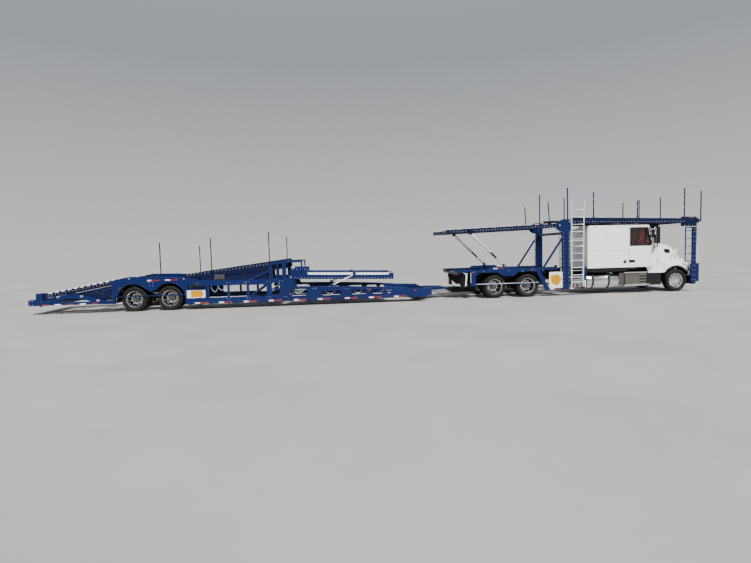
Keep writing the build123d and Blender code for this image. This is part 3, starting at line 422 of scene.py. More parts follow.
def plate_metal(name, base, hole, pitch=0.075, r=0.021, metal=0.3, rough=0.42, worn=0.5, worn_color=(0.42, 0.44, 0.47)):
    """Deck plate pierced by rows of round holes, its paint worn to metal between them."""
    w = Nodes(name)
    x, y, _ = w.xyz()

    def cell(v, shift=0.0):
        return w.math("SUBTRACT", w.math("FRACT", w.math("ADD", w.math("DIVIDE", v, pitch), shift)), 0.5)
    u, v = cell(x), cell(y)
    d = w.math("SQRT", w.math("ADD", w.math("MULTIPLY", u, u), w.math("MULTIPLY", v, v)))
    d = w.math("MULTIPLY", d, pitch)
    inside = w.span(d, r, r - 0.003)
    rim = w.math("MULTIPLY", w.span(d, r + 0.011, r + 0.003), w.span(d, r - 0.002, r + 0.002))
    n = w.noise(1.3, 6, 0.7)
    colour = w.mix(w.math("MULTIPLY", w.span(n, 0.42, 0.62), worn, True), base, worn_color)
    colour = w.mix(w.math("MULTIPLY", rim, 0.5), colour, worn_color)
    colour = w.mix(inside, colour, hole)
    w.link(colour, w.bsdf.inputs["Base Color"])
    w.link(w.math("ADD", w.span(w.noise(20, 4), 0.3, 0.7, rough - 0.1, rough + 0.15), w.math("MULTIPLY", inside, 0.4), True), w.bsdf.inputs["Roughness"])
    w.bsdf.inputs["Metallic"].default_value = metal
    height = w.math("SUBTRACT", rim, w.math("MULTIPLY", inside, 1.5))
    w.link(w.bump(height, 0.004), w.bsdf.inputs["Normal"])
    return w.mat


def curtain_cloth(name, base, scale=260.0):
    """The curtain's cloth: its own red at the front, painted shade at the gap of its two halves, and painted shade
    striped along the folds behind.
    """
    w = Nodes(name)
    xyz = w.xyz()
    a = w.math("SINE", w.math("MULTIPLY", w.math("ADD", xyz[0], xyz[1]), scale))
    b = w.math("SINE", w.math("MULTIPLY", xyz[2], scale))
    weave = w.math("MULTIPLY", a, b)
    u = w.math("SUBTRACT", w.math("SUBTRACT", xyz[0], XS), w.math("MULTIPLY", w.math("SUBTRACT", xyz[2], 1.97), 0.30))
    # painted shade: behind the front edge the cloth is darkened in stripes along its folds, and made almost black at
    # the gap of its two halves
    front = w.span(u, -1.625, -1.595)
    gap_shade = w.math("MULTIPLY", w.span(u, -1.745, -1.715), w.span(u, -1.600, -1.630))
    fold = w.span(w.math("SINE", w.math("MULTIPLY", w.math("SUBTRACT", xyz[0], XS), 2 * math.pi / 0.078)), 0.0, 0.75, 0.10, 0.80)
    dark = tuple(c * 0.05 for c in base)
    colour = w.mix(w.span(w.noise(2.5, 4), 0.35, 0.65), tuple(c * 0.78 for c in base), base)
    colour = w.mix(front, w.mix(fold, dark, colour), colour)
    colour = w.mix(gap_shade, colour, dark)
    w.link(colour, w.bsdf.inputs["Base Color"])
    w.link(w.span(w.noise(30, 3), 0.3, 0.7, 0.78, 0.95), w.bsdf.inputs["Roughness"])
    w.bsdf.inputs["Sheen Weight"].default_value = 0.12
    w.link(w.bump(weave, 0.0005), w.bsdf.inputs["Normal"])
    return w.mat


M["rubber"] = rubber()
M["louvre"] = paint("louvre_metal", (0.115, 0.108, 0.100), 0.42, 0.35, vary=0.14, vary_scale=3, dust=0.3, dust_top=1.0, dust_color=(0.16, 0.14, 0.12), grain=0.0005)
M["glass"] = glass("cab_glass", (0.56, 0.61, 0.62))
M["lamp"] = glass("lamp_glass", (0.95, 0.97, 0.98), ripple=0.0008)
M["seat"] = fabric("seat_fabric", (0.23, 0.045, 0.035))
M["curtain"] = curtain_cloth("curtain_fabric", (0.56, 0.028, 0.032))
M["bed"] = fabric("bed_fabric", (0.13, 0.14, 0.16))
M["track"] = plate_metal("deck_plate", (0.0025, 0.009, 0.045), (0.001, 0.0015, 0.003), worn=0.22, worn_color=(0.12, 0.14, 0.18))
M["track_bright"] = plate_metal("deck_plate_bright", (0.66, 0.68, 0.70), (0.05, 0.06, 0.09), worn=0.4, worn_color=(0.80, 0.81, 0.82), metal=0.25)
M["mesh"] = plate_metal("grille_mesh", (0.05, 0.05, 0.055), (0.003, 0.003, 0.003), pitch=0.02, r=0.0075, metal=0.8)

NODE_MATS = {
    "truck_frame": "black", "truck_axles": "black", "engine_block": "cast", "cab_shell": "white", "windshield": "glass", "dashboard": "trim",
    "fuel_tanks": "polished", "step_boxes": "polished", "front_bumper": "trim", "main_tower": "blue", "front_posts": "blue", "truck_lower_deck": "blue",
    "ladder": "ladder", "hood": "white", "grille": "polished", "headlamps": "lamp", "head_deck": "navy", "head_deck_stanchions": "navy",
    "head_lift_rods": "zinc", "truck_rear_deck": "navy", "deck_strut_barrels": "blue", "deck_strut_rods": "zinc", "tie_rod": "black",
    "trailer_frame": "blue", "trailer_axles": "black", "trailer_stanchions": "navy", "trailer_front_deck": "blue", "trailer_strut_barrels": "ladder",
    "trailer_strut_rods": "zinc", "trailer_back_deck": "navy", "tail_ramp": "navy", "knuckle_right": "black", "knuckle_left": "black",
}
for _, label in SIDES:
    NODE_MATS.update({f"door_{label}": "white", f"door_glass_{label}": "glass", f"mirror_{label}": "trim"})
for name, ob in N.items():
    ob.data.materials.clear()
    ob.data.materials.append(M[NODE_MATS.get(name, "black")])


def soften(node, width, angle=30, segments=3):
    """Rounds a CAD node's edges with modifiers, without changing its mesh."""
    ob = N[node]
    mod = ob.modifiers.new("weld", "WELD")
    mod.merge_threshold = 0.0002
    mod = ob.modifiers.new("flat", "DECIMATE")
    mod.decimate_type = "DISSOLVE"
    mod.angle_limit = math.radians(1.0)
    mod = ob.modifiers.new("round", "BEVEL")
    mod.width = width
    mod.segments = segments
    mod.limit_method = "ANGLE"
    mod.angle_limit = math.radians(angle)
    mod.harden_normals = True
    mod.use_clamp_overlap = True


# ---------------------------------------------------------------- tyres and wheels
AXLE = 0.445


def tyre_mesh(x, y, width, side, drive):
    """One tyre: bead, ribbed sidewall, rounded shoulder and a grooved tread with notched shoulder ribs."""
    w = width / 2
    wall = [(0.2921, 0.74 * w), (0.296, 0.80 * w), (0.304, 0.84 * w), (0.318, 0.90 * w), (0.322, 0.915 * w), (0.327, 0.90 * w), (0.342, 0.965 * w), (0.362, 0.992 * w),
            (0.366, 0.998 * w), (0.370, 0.992 * w), (0.392, 0.992 * w), (0.408, 0.965 * w), (0.412, 0.955 * w), (0.416, 0.925 * w), (0.427, 0.885 * w), (0.436, 0.83 * w)]
    tread = [(0.4425, 0.76 * w), (0.4448, 0.66 * w)]
    grooves = (0.44, 0.15)
    ribs = []
    for g in grooves:
        ribs += [(0.4450, (g + 0.045) * w), (0.4330, (g + 0.030) * w), (0.4330, (g - 0.030) * w), (0.4450, (g - 0.045) * w)]
    right = wall + tread + ribs
    prof = [(r, -t) for r, t in right] + [(r, t) for r, t in reversed(right)]
    n = 104
    k = len(prof)
    verts, mats = [], []
    first, last = len(wall) - 1, len(wall) + 2
    notch = [i for i in range(k) if (first <= i < last) or (first <= k - 1 - i < last)]
    inner_notch = [i for i in range(k) if len(wall) + 1 <= i < k - len(wall) - 1 and prof[i][0] > 0.44]
    out = Mesh()
    for i in range(n):
        a = 2 * math.pi * i / n
        u, v = math.cos(a), math.sin(a)
        for j, (r, t) in enumerate(prof):
            if j in notch and i % 4 == 3:
                r -= 0.010 if drive else 0.006
            if drive and j in inner_notch and i % 4 == 1:
                r -= 0.007
            verts.append((x + r * u, y + t * side, AXLE + r * v))
    faces = [(i * k + j, ((i + 1) % n) * k + j, ((i + 1) % n) * k + (j + 1) % k, i * k + (j + 1) % k) for i in range(n) for j in range(k)]
    return out.add(verts, faces)


def pierced_disc(c, side, y_of, r_in, r_out, holes, r_hole, r_mid, thick, m=0):
    """A wheel disc with round hand holes, y_of(r) giving its outer face."""
    out = Mesh()
    half = math.pi / holes
    n = 32
    cells = []
    for k in range(holes):
        base = 2 * math.pi * k / holes
        rings = []
        for step in (0.0, 0.12, 0.5, 1.0):
            ring = []
            for j in range(n):
                t = 2 * math.pi * j / n + math.pi / 4
                ct, st = math.cos(t), math.sin(t)
                hr, ha = r_hole * ct, r_hole * st
                w_r = (r_out - r_mid) if ct > 0 else (r_mid - r_in)
                w_a = half * r_mid
                f = min(w_r / abs(ct) if abs(ct) > 1e-9 else 1e9, w_a / abs(st) if abs(st) > 1e-9 else 1e9)
                dr = hr + (f * ct - hr) * step
                da = ha + (f * st - ha) * step
                r, a = r_mid + dr, base + da / r_mid
                drop = 0.004 if step == 0.0 else 0.0
                ring.append((c[0] + r * math.cos(a), y_of(r) - drop, c[2] + r * math.sin(a)))
            rings.append(ring)
        for face in (0, 1):
            off = len(out.v)
            shift = 0 if face == 0 else -thick
            for ring in rings:
                out.v += [(p[0], c[1] + side * (p[1] + shift), p[2]) for p in ring]
            for q in range(3):
                for j in range(n):
                    f4 = (off + q * n + j, off + q * n + (j + 1) % n, off + (q + 1) * n + (j + 1) % n, off + (q + 1) * n + j)
                    out.f.append(f4 if (face == 0) == (side > 0) else f4[::-1])
                    out.m.append(m)
            if face == 0:
                first = off
        for j in range(n):
            a0, a1 = first + j, first + (j + 1) % n
            b0, b1 = off + j, off + (j + 1) % n
            out.f.append((a0, a1, b1, b0))
            out.m.append(m)
    return out


def nuts(mesh, c, side, y0, y1, radius, count, m, r=0.018):
    for k in range(count):
        a = 2 * math.pi * (k + 0.5) / count
        p = (c[0] + radius * math.cos(a), c[2] + radius * math.sin(a))
        mesh.rod((p[0], side * y0, p[1]), (p[0], side * (y0 + 0.006), p[1]), r * 1.25, m, 16)
        mesh.rod((p[0], side * (y0 + 0.006), p[1]), (p[0], side * (y1 - 0.008), p[1]), r, m, 6)
        mesh.dome((p[0], side * (y1 - 0.008), p[1]), r * 0.85, 0.008, m, 12, 3, "y", side)
    return mesh


for s, label in SIDES:
    rubber_piece = piece(f"steer_tyre_detail_{label}", tyre_mesh(0, s * 1.040, 0.290, s, False), M["rubber"], f"steer_wheel_{label}", smooth=35)
    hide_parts(f"steer_tyre_{label}")
    c = (0.0, 0.0, AXLE)
    w = Mesh()
    # rim barrel with its flanges, in (radius, distance from the middle of the truck)
    w.lathe([(0.2915, 0.934), (0.2915, 0.944), (0.281, 0.952), (0.272, 0.990), (0.262, 1.005), (0.262, 1.075), (0.272, 1.092), (0.281, 1.128), (0.2915, 1.137), (0.2915, 1.147),
             (0.286, 1.147), (0.274, 1.137), (0.262, 1.120), (0.256, 1.100), (0.252, 1.075), (0.252, 1.005), (0.262, 0.985), (0.270, 0.950), (0.284, 0.934)], c, 96, 0, s)
    w.merge(pierced_disc(c, s, lambda r: 1.108 - 0.030 * max(0.0, (r - 0.19) / 0.07) ** 2 + (0.010 if r < 0.15 else 0.0), 0.118, 0.256, 10, 0.0300, 0.2185, 0.016))
    w.lathe([(0.119, 1.086), (0.119, 1.112), (0.200, 1.1085), (0.118, 1.118)], c, 64, 0, s)
    nuts(w, c, s, 1.106, 1.142, 0.1675, 10, 2)
    w.lathe([(0.118, 1.095), (0.118, 1.120), (0.108, 1.126), (0.094, 1.130), (0.083, 1.134), (0.083, 1.158), (0.078, 1.166), (0.060, 1.1705), (0.030, 1.172), (0.001, 1.172), (0.001, 1.130), (0.08, 1.095)], c, 64, 1, s)
    w.lathe([(0.041, 0.986), (0.118, 0.986), (0.118, 1.094), (0.041, 1.094)], c, 48, 2, s)
    for k in range(8):
        a = 2 * math.pi * k / 8
        w.rod((0.098 * math.cos(a), s * 1.124, AXLE + 0.098 * math.sin(a)), (0.098 * math.cos(a), s * 1.136, AXLE + 0.098 * math.sin(a)), 0.008, 2, 6)
    w.rod((0.0, s * 1.125, AXLE - 0.262), (0.0, s * 1.150, AXLE - 0.232), 0.004, 2, 8)
    wheel = piece(f"steer_wheel_detail_{label}", w, [M["wheel"], M["chrome"], M["hub"]], f"steer_wheel_{label}", smooth=32)
    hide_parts(f"steer_wheel_{label}")
    for group, rows in (("drive", (("front", -6.170), ("back", -7.490))), ("trailer", (("front", -19.590), ("back", -20.835)))):
        for where, x in rows:
            body = f"{group}_wheel_{where}_{label}"
            t = tyre_mesh(x, s * 0.785, 0.250, s, group == "drive").merge(tyre_mesh(x, s * 1.110, 0.250, s, group == "drive"))
            rubber_piece = piece(f"{group}_tyres_detail_{where}_{label}", t, M["rubber"], body, smooth=35)
            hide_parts(f"{group}_tyres_{where}_{label}")
            c = (x, 0.0, AXLE)
            w = Mesh()
            for lo, hi in ((0.693, 0.878), (1.017, 1.202)):
                w.lathe([(0.2915, lo), (0.2915, lo + 0.01), (0.281, lo + 0.016), (0.272, lo + 0.05), (0.262, lo + 0.065), (0.262, hi - 0.065), (0.272, hi - 0.05), (0.281, hi - 0.016), (0.2915, hi - 0.01),
                         (0.2915, hi), (0.286, hi), (0.274, hi - 0.010), (0.262, hi - 0.03), (0.254, hi - 0.055), (0.252, lo + 0.065), (0.260, lo + 0.05), (0.272, lo + 0.01), (0.284, lo)], c, 96, 0, s)
            w.merge(pierced_disc(c, s, lambda r: 0.964 + 0.075 * max(0.0, (r - 0.200) / 0.056) ** 1.6, 0.118, 0.256, 10, 0.0300, 0.2200, 0.016, 4))
            w.merge(pierced_disc(c, s, lambda r: 0.944 - 0.095 * max(0.0, (r - 0.200) / 0.056) ** 1.6, 0.118, 0.256, 10, 0.0300, 0.2200, 0.013, 3))
            nuts(w, c, s, 0.963, 1.002, 0.1675, 10, 2)
            w.lathe([(0.061, 0.882), (0.132, 0.882), (0.132, 1.020), (0.124, 1.034), (0.110, 1.040), (0.110, 1.084), (0.103, 1.090), (0.079, 1.094), (0.079, 1.148), (0.070, 1.164), (0.045, 1.168), (0.001, 1.168),
                     (0.001, 1.10), (0.061, 1.086)], c, 64, 1, s)
            for k in range(8):
                a = 2 * math.pi * k / 8
                w.rod((x + 0.094 * math.cos(a), s * 1.088, AXLE + 0.094 * math.sin(a)), (x + 0.094 * math.cos(a), s * 1.100, AXLE + 0.094 * math.sin(a)), 0.008, 2, 6)
            w.lathe([(0.190, 0.713), (0.205, 0.713), (0.205, 0.745), (0.198, 0.752), (0.205, 0.760), (0.205, 0.900), (0.200, 0.926), (0.135, 0.931), (0.132, 0.905), (0.190, 0.900)], c, 64, 3, s)
            w.rod((x, s * 1.180, AXLE - 0.262), (x, s * 1.198, AXLE - 0.225), 0.004, 2, 8)
            wheel = piece(f"{group}_wheels_detail_{where}_{label}", w, [M["wheel"], M["hub"], M["zinc"], M["cast"], M["wheel_disc"]], body, smooth=32)
            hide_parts(f"{group}_wheels_{where}_{label}")

# ---------------------------------------------------------------- cab
for node, width in (("cab_shell", 0.030), ("hood", 0.032), ("front_bumper", 0.016), ("step_boxes", 0.012), ("fuel_tanks", 0.022), ("dashboard", 0.018),
                    ("door_right", 0.004), ("door_left", 0.004), ("mirror_right", 0.022), ("mirror_left", 0.022), ("headlamps", 0.012), ("grille", 0.004),
                    ("main_tower", 0.006), ("front_posts", 0.006), ("ladder", 0.005)):
    soften(node, width)

for s, label in SIDES:
    def Y(*v):
        return tuple(s * a for a in v)
    # sleeper: panel joints, corner extrusions, roof rail, a luggage lock
    w = Mesh()
    y = (1.1990, 1.2015)
    w.box((-3.676, -3.670), Y(*y), (1.06, 2.64)).box((-2.043, -2.037), Y(*y), (1.04, 2.66)).box((-3.670, -2.043), Y(*y), (1.7065, 1.7115))
    w.box((-3.670, -2.043), Y(*y), (2.617, 2.622))
    piece(f"sleeper_joints_{label}", w, M["trim"], "truck")
    w = Mesh()
    for x in (-3.640, -3.100, -2.560, -2.080):
        for z in (1.16, 1.40, 1.66, 1.78, 2.02, 2.28, 2.54):
            w.dome((x, s * 1.2, z), 0.007, 0.003, 0, 10, 3, "y", s)
    piece(f"sleeper_rivets_{label}", w, M["white"], "truck")
    w = Mesh().box((-3.728, -2.045), Y(0.72, 1.168), (0.872, 1.028), 0, 0.018).box((-3.728, -2.045), Y(1.160, 1.180), (1.008, 1.030), 0, 0.004)
    piece(f"sleeper_sill_{label}", w, M["trim"], "truck", bevel=0.004)
    w = Mesh()
    w.pipe([(-2.975, s * 1.206, 2.49), (-2.975, s * 1.218, 2.47), (-2.975, s * 1.218, 2.30), (-2.965, s * 1.218, 2.262), (-2.940, s * 1.216, 2.250), (-2.915, s * 1.212, 2.262)], 0.0055, 0, 10)
    w.box((-2.988, -2.962), Y(1.199, 1.212), (2.478, 2.502), 0, 0.003)
    piece(f"sleeper_hook_{label}", w, M["zinc"], "truck")
    w = Mesh()
    for x, z in ((-2.190, 1.255),):
        w.lathe([(0.001, 1.2000), (0.068, 1.2000), (0.068, 1.206), (0.058, 1.209), (0.030, 1.2085), (0.026, 1.2055), (0.001, 1.2055)], (x, 0, z), 36, 0, s)
        w.box((x - 0.020, x + 0.020), Y(1.205, 1.2095), (z - 0.006, z + 0.006), 1, 0.001)
    piece(f"luggage_locks_{label}", w, [M["trim"], M["zinc"]], "truck")
    # painted shade: a grey plate standing in for the shaded recess under the front of the door, and the body line above
    # it
    w = Mesh().prism([(-1.345, 1.070), (-0.966, 1.060), (-1.175, 0.853)], Y(1.189, 1.1935), 0)
    piece(f"cowl_recess_shade_{label}", w, M["flap"], "truck", bevel=0.003)
    # door: handle in its cup, lock, body line, seal round the glass, sash bar, kick panel
    w = Mesh().box((-2.018, -1.762), Y(1.1985, 1.2015), (1.208, 1.322), 0, 0.001).box((-2.004, -1.796), Y(1.201, 1.2035), (1.222, 1.308), 1, 0.001)
    w.box((-1.990, -1.806), Y(1.203, 1.214), (1.270, 1.298), 0, 0.004).box((-1.786, -1.770), Y(1.2, 1.206), (1.258, 1.274), 2, 0.002)
    piece(f"door_handle_{label}", w, [M["trim"], M["black"], M["zinc"]], f"door_{label}")
    seal_out = [(-1.982, 1.866), (-1.982, 2.600), (-1.272, 2.600), (-1.050, 1.990), (-1.108, 1.862)]
    seal_in = [(-1.918, 1.925), (-1.918, 2.542), (-1.304, 2.542), (-1.112, 1.985), (-1.150, 1.925)]
    w = Mesh()
    n = len(seal_out)
    for y0, y1 in ((1.1985, 1.2050), (1.1400, 1.1462)):
        pts = [(x, s * y0, z) for x, z in seal_out] + [(x, s * y0, z) for x, z in seal_in] + [(x, s * y1, z) for x, z in seal_out] + [(x, s * y1, z) for x, z in seal_in]
        faces = []
        for i in range(n):
            j = (i + 1) % n
            faces += [(i, j, n + j, n + i), (2 * n + i, 3 * n + i, 3 * n + j, 2 * n + j), (i, 2 * n + i, 2 * n + j, j), (n + i, n + j, 3 * n + j, 3 * n + i)]
        w.add(pts, faces)
    w.box((-1.318, -1.300), Y(1.174, 1.1985), (1.905, 2.566), 0, 0.003)
    # painted shade: dark strips before the glass and over the pillar before it, where the head deck's shadow falls,
    # both notched round the mirror's arm
    for z0, z1 in ((2.170, 2.300), (2.360, 2.600)):
        w.prism([(-1.1175 - (z0 - 2.17) * 0.3640, z0), (-1.1175 - (z1 - 2.17) * 0.3640, z1), (-1.073 - (z1 - 2.17) * 0.3805, z1), (-1.073 - (z0 - 2.17) * 0.3805, z0)], Y(1.1980, 1.2010))
    piece(f"door_seal_{label}", w, M["trim"], f"door_{label}", bevel=0.0015)
    # painted shade: a dark strip over the upper pillar, where the head deck's shadow falls
    w = Mesh()
    for z0, z1 in ((2.170, 2.300), (2.360, 2.600)):
        w.prism([(-1.056 - (z0 - 2.17) * 0.3824, z0), (-1.056 - (z1 - 2.17) * 0.3824, z1), (-0.993 - (z1 - 2.17) * 0.4103, z1), (-0.993 - (z0 - 2.17) * 0.4103, z0)], Y(1.1880, 1.2020))
    piece(f"pillar_shade_strip_{label}", w, M["trim"], "truck", bevel=0.0015)
    w = Mesh()
    line = [(-0.909, 1.835), (-1.117, 1.486), (-1.199, 1.250), (-1.215, 1.100)]
    for (x0, z0), (x1, z1) in zip(line, line[1:]):
        d = Vector((x1 - x0, z1 - z0)).normalized() * (0.011 if z0 > 1.8 else 0.005)
        w.prism([(x0 - d.y, z0 + d.x), (x1 - d.y, z1 + d.x), (x1 + d.y, z1 - d.x), (x0 + d.y, z0 - d.x)], Y(1.1988, 1.2003))
    piece(f"door_line_{label}", w, M["trim"], f"door_{label}")
    w = Mesh().box((-1.86, -1.03), Y(1.135, 1.1462), (1.16, 1.84), 0, 0.004).box((-1.72, -1.22), Y(1.085, 1.137), (1.52, 1.57), 1, 0.012).box((-1.80, -1.10), Y(1.100, 1.137), (1.20, 1.34), 1, 0.012)
    piece(f"door_lining_{label}", w, [M["flap"], M["trim"]], f"door_{label}", bevel=0.004)
    # red curtain behind the door glass
    w = Mesh()
    cols, rows = 132, 14
    for i in range(cols + 1):
        u = i / cols
        for j in range(rows + 1):
            v = j / rows
            x = -1.935 + (0.655 + 0.185 * v) * u
            fold = (0.021 - 0.010 * u) * math.sin(2 * math.pi * (17 * u - 4 * u * u) + 0.5 * math.sin(3 * v)) * (0.75 + 0.35 * v)
            w.v.append((x + 0.004 * math.sin(5 * v + 7 * u), s * (1.105 + fold), 2.545 - 0.61 * v + 0.004 * math.sin(20 * u)))
    w.f = [(i * (rows + 1) + j, (i + 1) * (rows + 1) + j, (i + 1) * (rows + 1) + j + 1, i * (rows + 1) + j + 1) for i in range(cols) for j in range(rows)]
    w.m = [0] * len(w.f)
    curtain = piece(f"curtain_{label}", w, M["curtain"], "truck", smooth=180, solidify=0.0018)
    w = Mesh().rod((-1.96, s * 1.105, 2.553), (-1.22, s * 1.105, 2.553), 0.007, 0, 12)
    for x in (-1.955, -1.270):
        w.box((x - 0.008, x + 0.008), Y(1.098, 1.146), (2.546, 2.562), 0, 0.002)
    piece(f"curtain_rail_{label}", w, M["zinc"], "truck")
    # mirror: glass, convex glass under it, chrome back cap
    w = Mesh().box((-1.0345, -1.029), Y(1.304, 1.426), (2.150, 2.586), 0, 0.002).box((-1.0345, -1.029), Y(1.304, 1.426), (1.964, 2.128), 0, 0.002)
    piece(f"mirror_glass_{label}", w, M["chrome"], f"door_{label}")
    w = Mesh().box((-0.8815, -0.8765), Y(1.312, 1.418), (1.985, 2.565), 0, 0.002)
    piece(f"mirror_cap_{label}", w, M["chrome"], f"door_{label}", bevel=0.0015)
    # wing mirror on the hood: grey glass in a white rim
    w = Mesh().box((0.02, 0.07), Y(0.995, 1.115), (1.42, 1.70), 0, 0.016)
    w.pipe([(0.045, s * 1.055, 1.43), (0.06, s * 1.04, 1.34), (0.10, s * 1.02, 1.26), (0.16, s * 1.00, 1.20)], 0.011, 1, 12)
    w.box((0.014, 0.021), Y(1.008, 1.102), (1.44, 1.68), 2, 0.002)
    piece(f"wing_mirror_{label}", w, [M["white"], M["trim"], M["chrome"]], "hood", bevel=0.004)
    # hood side: louvre, seam
    w = Mesh()
    y0 = 0.9285
    w.prism([(-0.375, 1.715), (-0.135, 1.690), (-0.085, 1.545), (-0.325, 1.560)], Y(y0, y0 + 0.006), 0)
    for k in range(5):
        z = 1.575 + 0.027 * k
        w.prism([(-0.335 - 0.008 * k, z), (-0.112 - 0.008 * k, z - 0.008), (-0.114 - 0.008 * k, z + 0.004), (-0.337 - 0.008 * k, z + 0.012)], Y(y0 + 0.004, y0 + 0.014), 1)
    piece(f"hood_louvre_{label}", w, [M["trim"], M["black"]], "hood")
    # moulding round the wheel arch and the liner behind it
    w = Mesh()
    pts = [(0.578 * math.cos(math.radians(a)), AXLE + 0.578 * math.sin(math.radians(a))) for a in range(21, 144, 6)]
    for (x0, z0), (x1, z1) in zip(pts, pts[1:]):
        d0, d1 = Vector((x0, z0 - AXLE)).normalized(), Vector((x1, z1 - AXLE)).normalized()
        w.prism([(x0, z0), (x1, z1), (x1 + 0.028 * d1.x, z1 + 0.028 * d1.y), (x0 + 0.028 * d0.x, z0 + 0.028 * d0.y)], Y(1.1665, 1.1705))
    piece(f"arch_moulding_{label}", w, M["trim"], "hood", weld=0.0005)
    w = Mesh()
    pts = [(0.5735 * math.cos(math.radians(a)), AXLE + 0.5735 * math.sin(math.radians(a))) for a in range(23, 143, 5)]
    for (x0, z0), (x1, z1) in zip(pts, pts[1:]):
        d0, d1 = Vector((x0, z0 - AXLE)).normalized() * 0.006, Vector((x1, z1 - AXLE)).normalized() * 0.006
        w.prism([(x0, z0), (x1, z1), (x1 - d1.x, z1 - d1.y), (x0 - d0.x, z0 - d0.y)], Y(0.700, 1.164))
    piece(f"arch_liner_{label}", w, M["trim"], "hood", weld=0.0005)
    w = Mesh()
    for (x0, z0), (x1, z1), y0, h in (((-0.776, 1.465), (-0.776, 1.245), 1.1665, 0.010), ((-0.776, 1.238), (-0.455, 1.012), 1.1665, 0.011), ((-0.030, 1.512), (0.125, 1.366), 0.9285, 0.010), ((-0.775, 1.86), (-0.775, 1.50), 0.9285, 0.010)):
        d = Vector((x1 - x0, z1 - z0)).normalized() * h
        w.prism([(x0 - d.y, z0 + d.x), (x1 - d.y, z1 + d.x), (x1 + d.y, z1 - d.x), (x0 + d.y, z0 - d.x)], Y(y0, y0 + 0.003))
    piece(f"hood_seams_{label}", w, M["trim"], "hood")
    # headlamp: bowl, reflector, bulbs and amber corner lens behind the clear cover
    w = Mesh()
    for yy, r in ((0.83, 0.070), (0.985, 0.058)):
        w.lathe([(r, 0.640), (r, 0.628), (r * 0.8, 0.600), (r * 0.45, 0.578), (0.012, 0.572), (0.012, 0.576), (r * 0.42, 0.584), (r * 0.74, 0.606), (r * 0.93, 0.630)], (0, s * yy, 0.905), 36, 0, 1, "x")
        w.rod((0.574, s * yy, 0.905), (0.606, s * yy, 0.905), 0.009, 1, 12)
    w.box((0.568, 0.574), Y(0.735, 1.075), (0.806, 1.020), 2)
    w.box((0.572, 0.600), Y(1.046, 1.072), (0.82, 1.00), 3, 0.004)
    piece(f"headlamp_inside_{label}", w, [M["chrome"], M["lamp"], M["trim"], M["lens_amber"]], "hood")

# windscreen surround, centre bar, wipers, roof lamps
top, foot = Vector((-1.160, 2.600)), Vector((-0.885, 1.925))
d = (foot - top).normalized()
nrm = Vector((-d.y, d.x)) if -d.y > 0 else Vector((d.y, -d.x))


def on_screen(t, y, out):
    p = top + d * t + nrm * out
    return (p.x, y, p.y)


length = (foot - top).length
w = Mesh()
for y0, y1, t0, t1 in ((-1.045, -1.015, 0.010, length - 0.010), (1.015, 1.045, 0.010, length - 0.010), (-1.045, 1.045, 0.010, 0.040), (-1.045, 1.045, length - 0.040, length - 0.010), (-0.008, 0.008, 0.03, length - 0.03)):
    p = [on_screen(t, y, o) for t in (t0, t1) for y in (y0, y1) for o in (-0.006, 0.003)]
    w.add(p, [(0, 1, 3, 2), (4, 6, 7, 5), (0, 4, 5, 1), (2, 3, 7, 6), (0, 2, 6, 4), (1, 5, 7, 3)])
piece("screen_seal", w, M["trim"], "truck", bevel=0.002)
w = Mesh()
for y0, y1 in ((-0.10, -0.78), (0.78, 0.10)):
    a, b = on_screen(length - 0.03, y0, 0.012), on_screen(length - 0.32, y1, 0.010)
    w.pipe([a, tuple(Vector(a).lerp(Vector(b), 0.3) + Vector((0.012, 0, 0.006))), b], 0.006, 0, 8)
    m0, m1 = on_screen(length - 0.10, y1 - 0.18 if y1 < 0 else y1 - 0.20, 0.006), on_screen(length - 0.42, y1 + 0.22 if y1 < 0 else y1 + 0.16, 0.006)
    w.rod(m0, m1, 0.006, 0, 8)
    w.rod(on_screen(length - 0.03, y0, -0.002), on_screen(length - 0.03, y0, 0.020), 0.014, 0, 12)
piece("wipers", w, M["trim"], "truck")
w = Mesh()
for y in (-0.95, -0.30, 0.0, 0.30, 0.95):
    w.box((-1.36, -1.24), (y - 0.045, y + 0.045), (2.700, 2.7195), 0, 0.003)
    w.box((-1.345, -1.255), (y - 0.032, y + 0.032), (2.7185, 2.752), 1, 0.010)
piece("roof_lamps", w, [M["trim"], M["lens_amber"]], "truck", bevel=0.004)
w = Mesh()
for s in (-1, 1):   # air horns and the roof's drip rail
    w.box((-3.66, -1.45), (s * 1.128, s * 1.140), (2.700, 2.716), 1, 0.003)
w.rod((-1.70, -0.45, 2.750), (-2.05, -0.45, 2.750), 0.034, 0, 20, r2=0.012).rod((-1.70, -0.45, 2.750), (-1.690, -0.45, 2.750), 0.040, 0, 24)
w.rod((-1.80, -0.45, 2.745), (-1.80, -0.45, 2.716), 0.010, 0, 10)
piece("roof_trim", w, [M["polished"], M["white"]], "truck")

# seats and bunk
seats = []


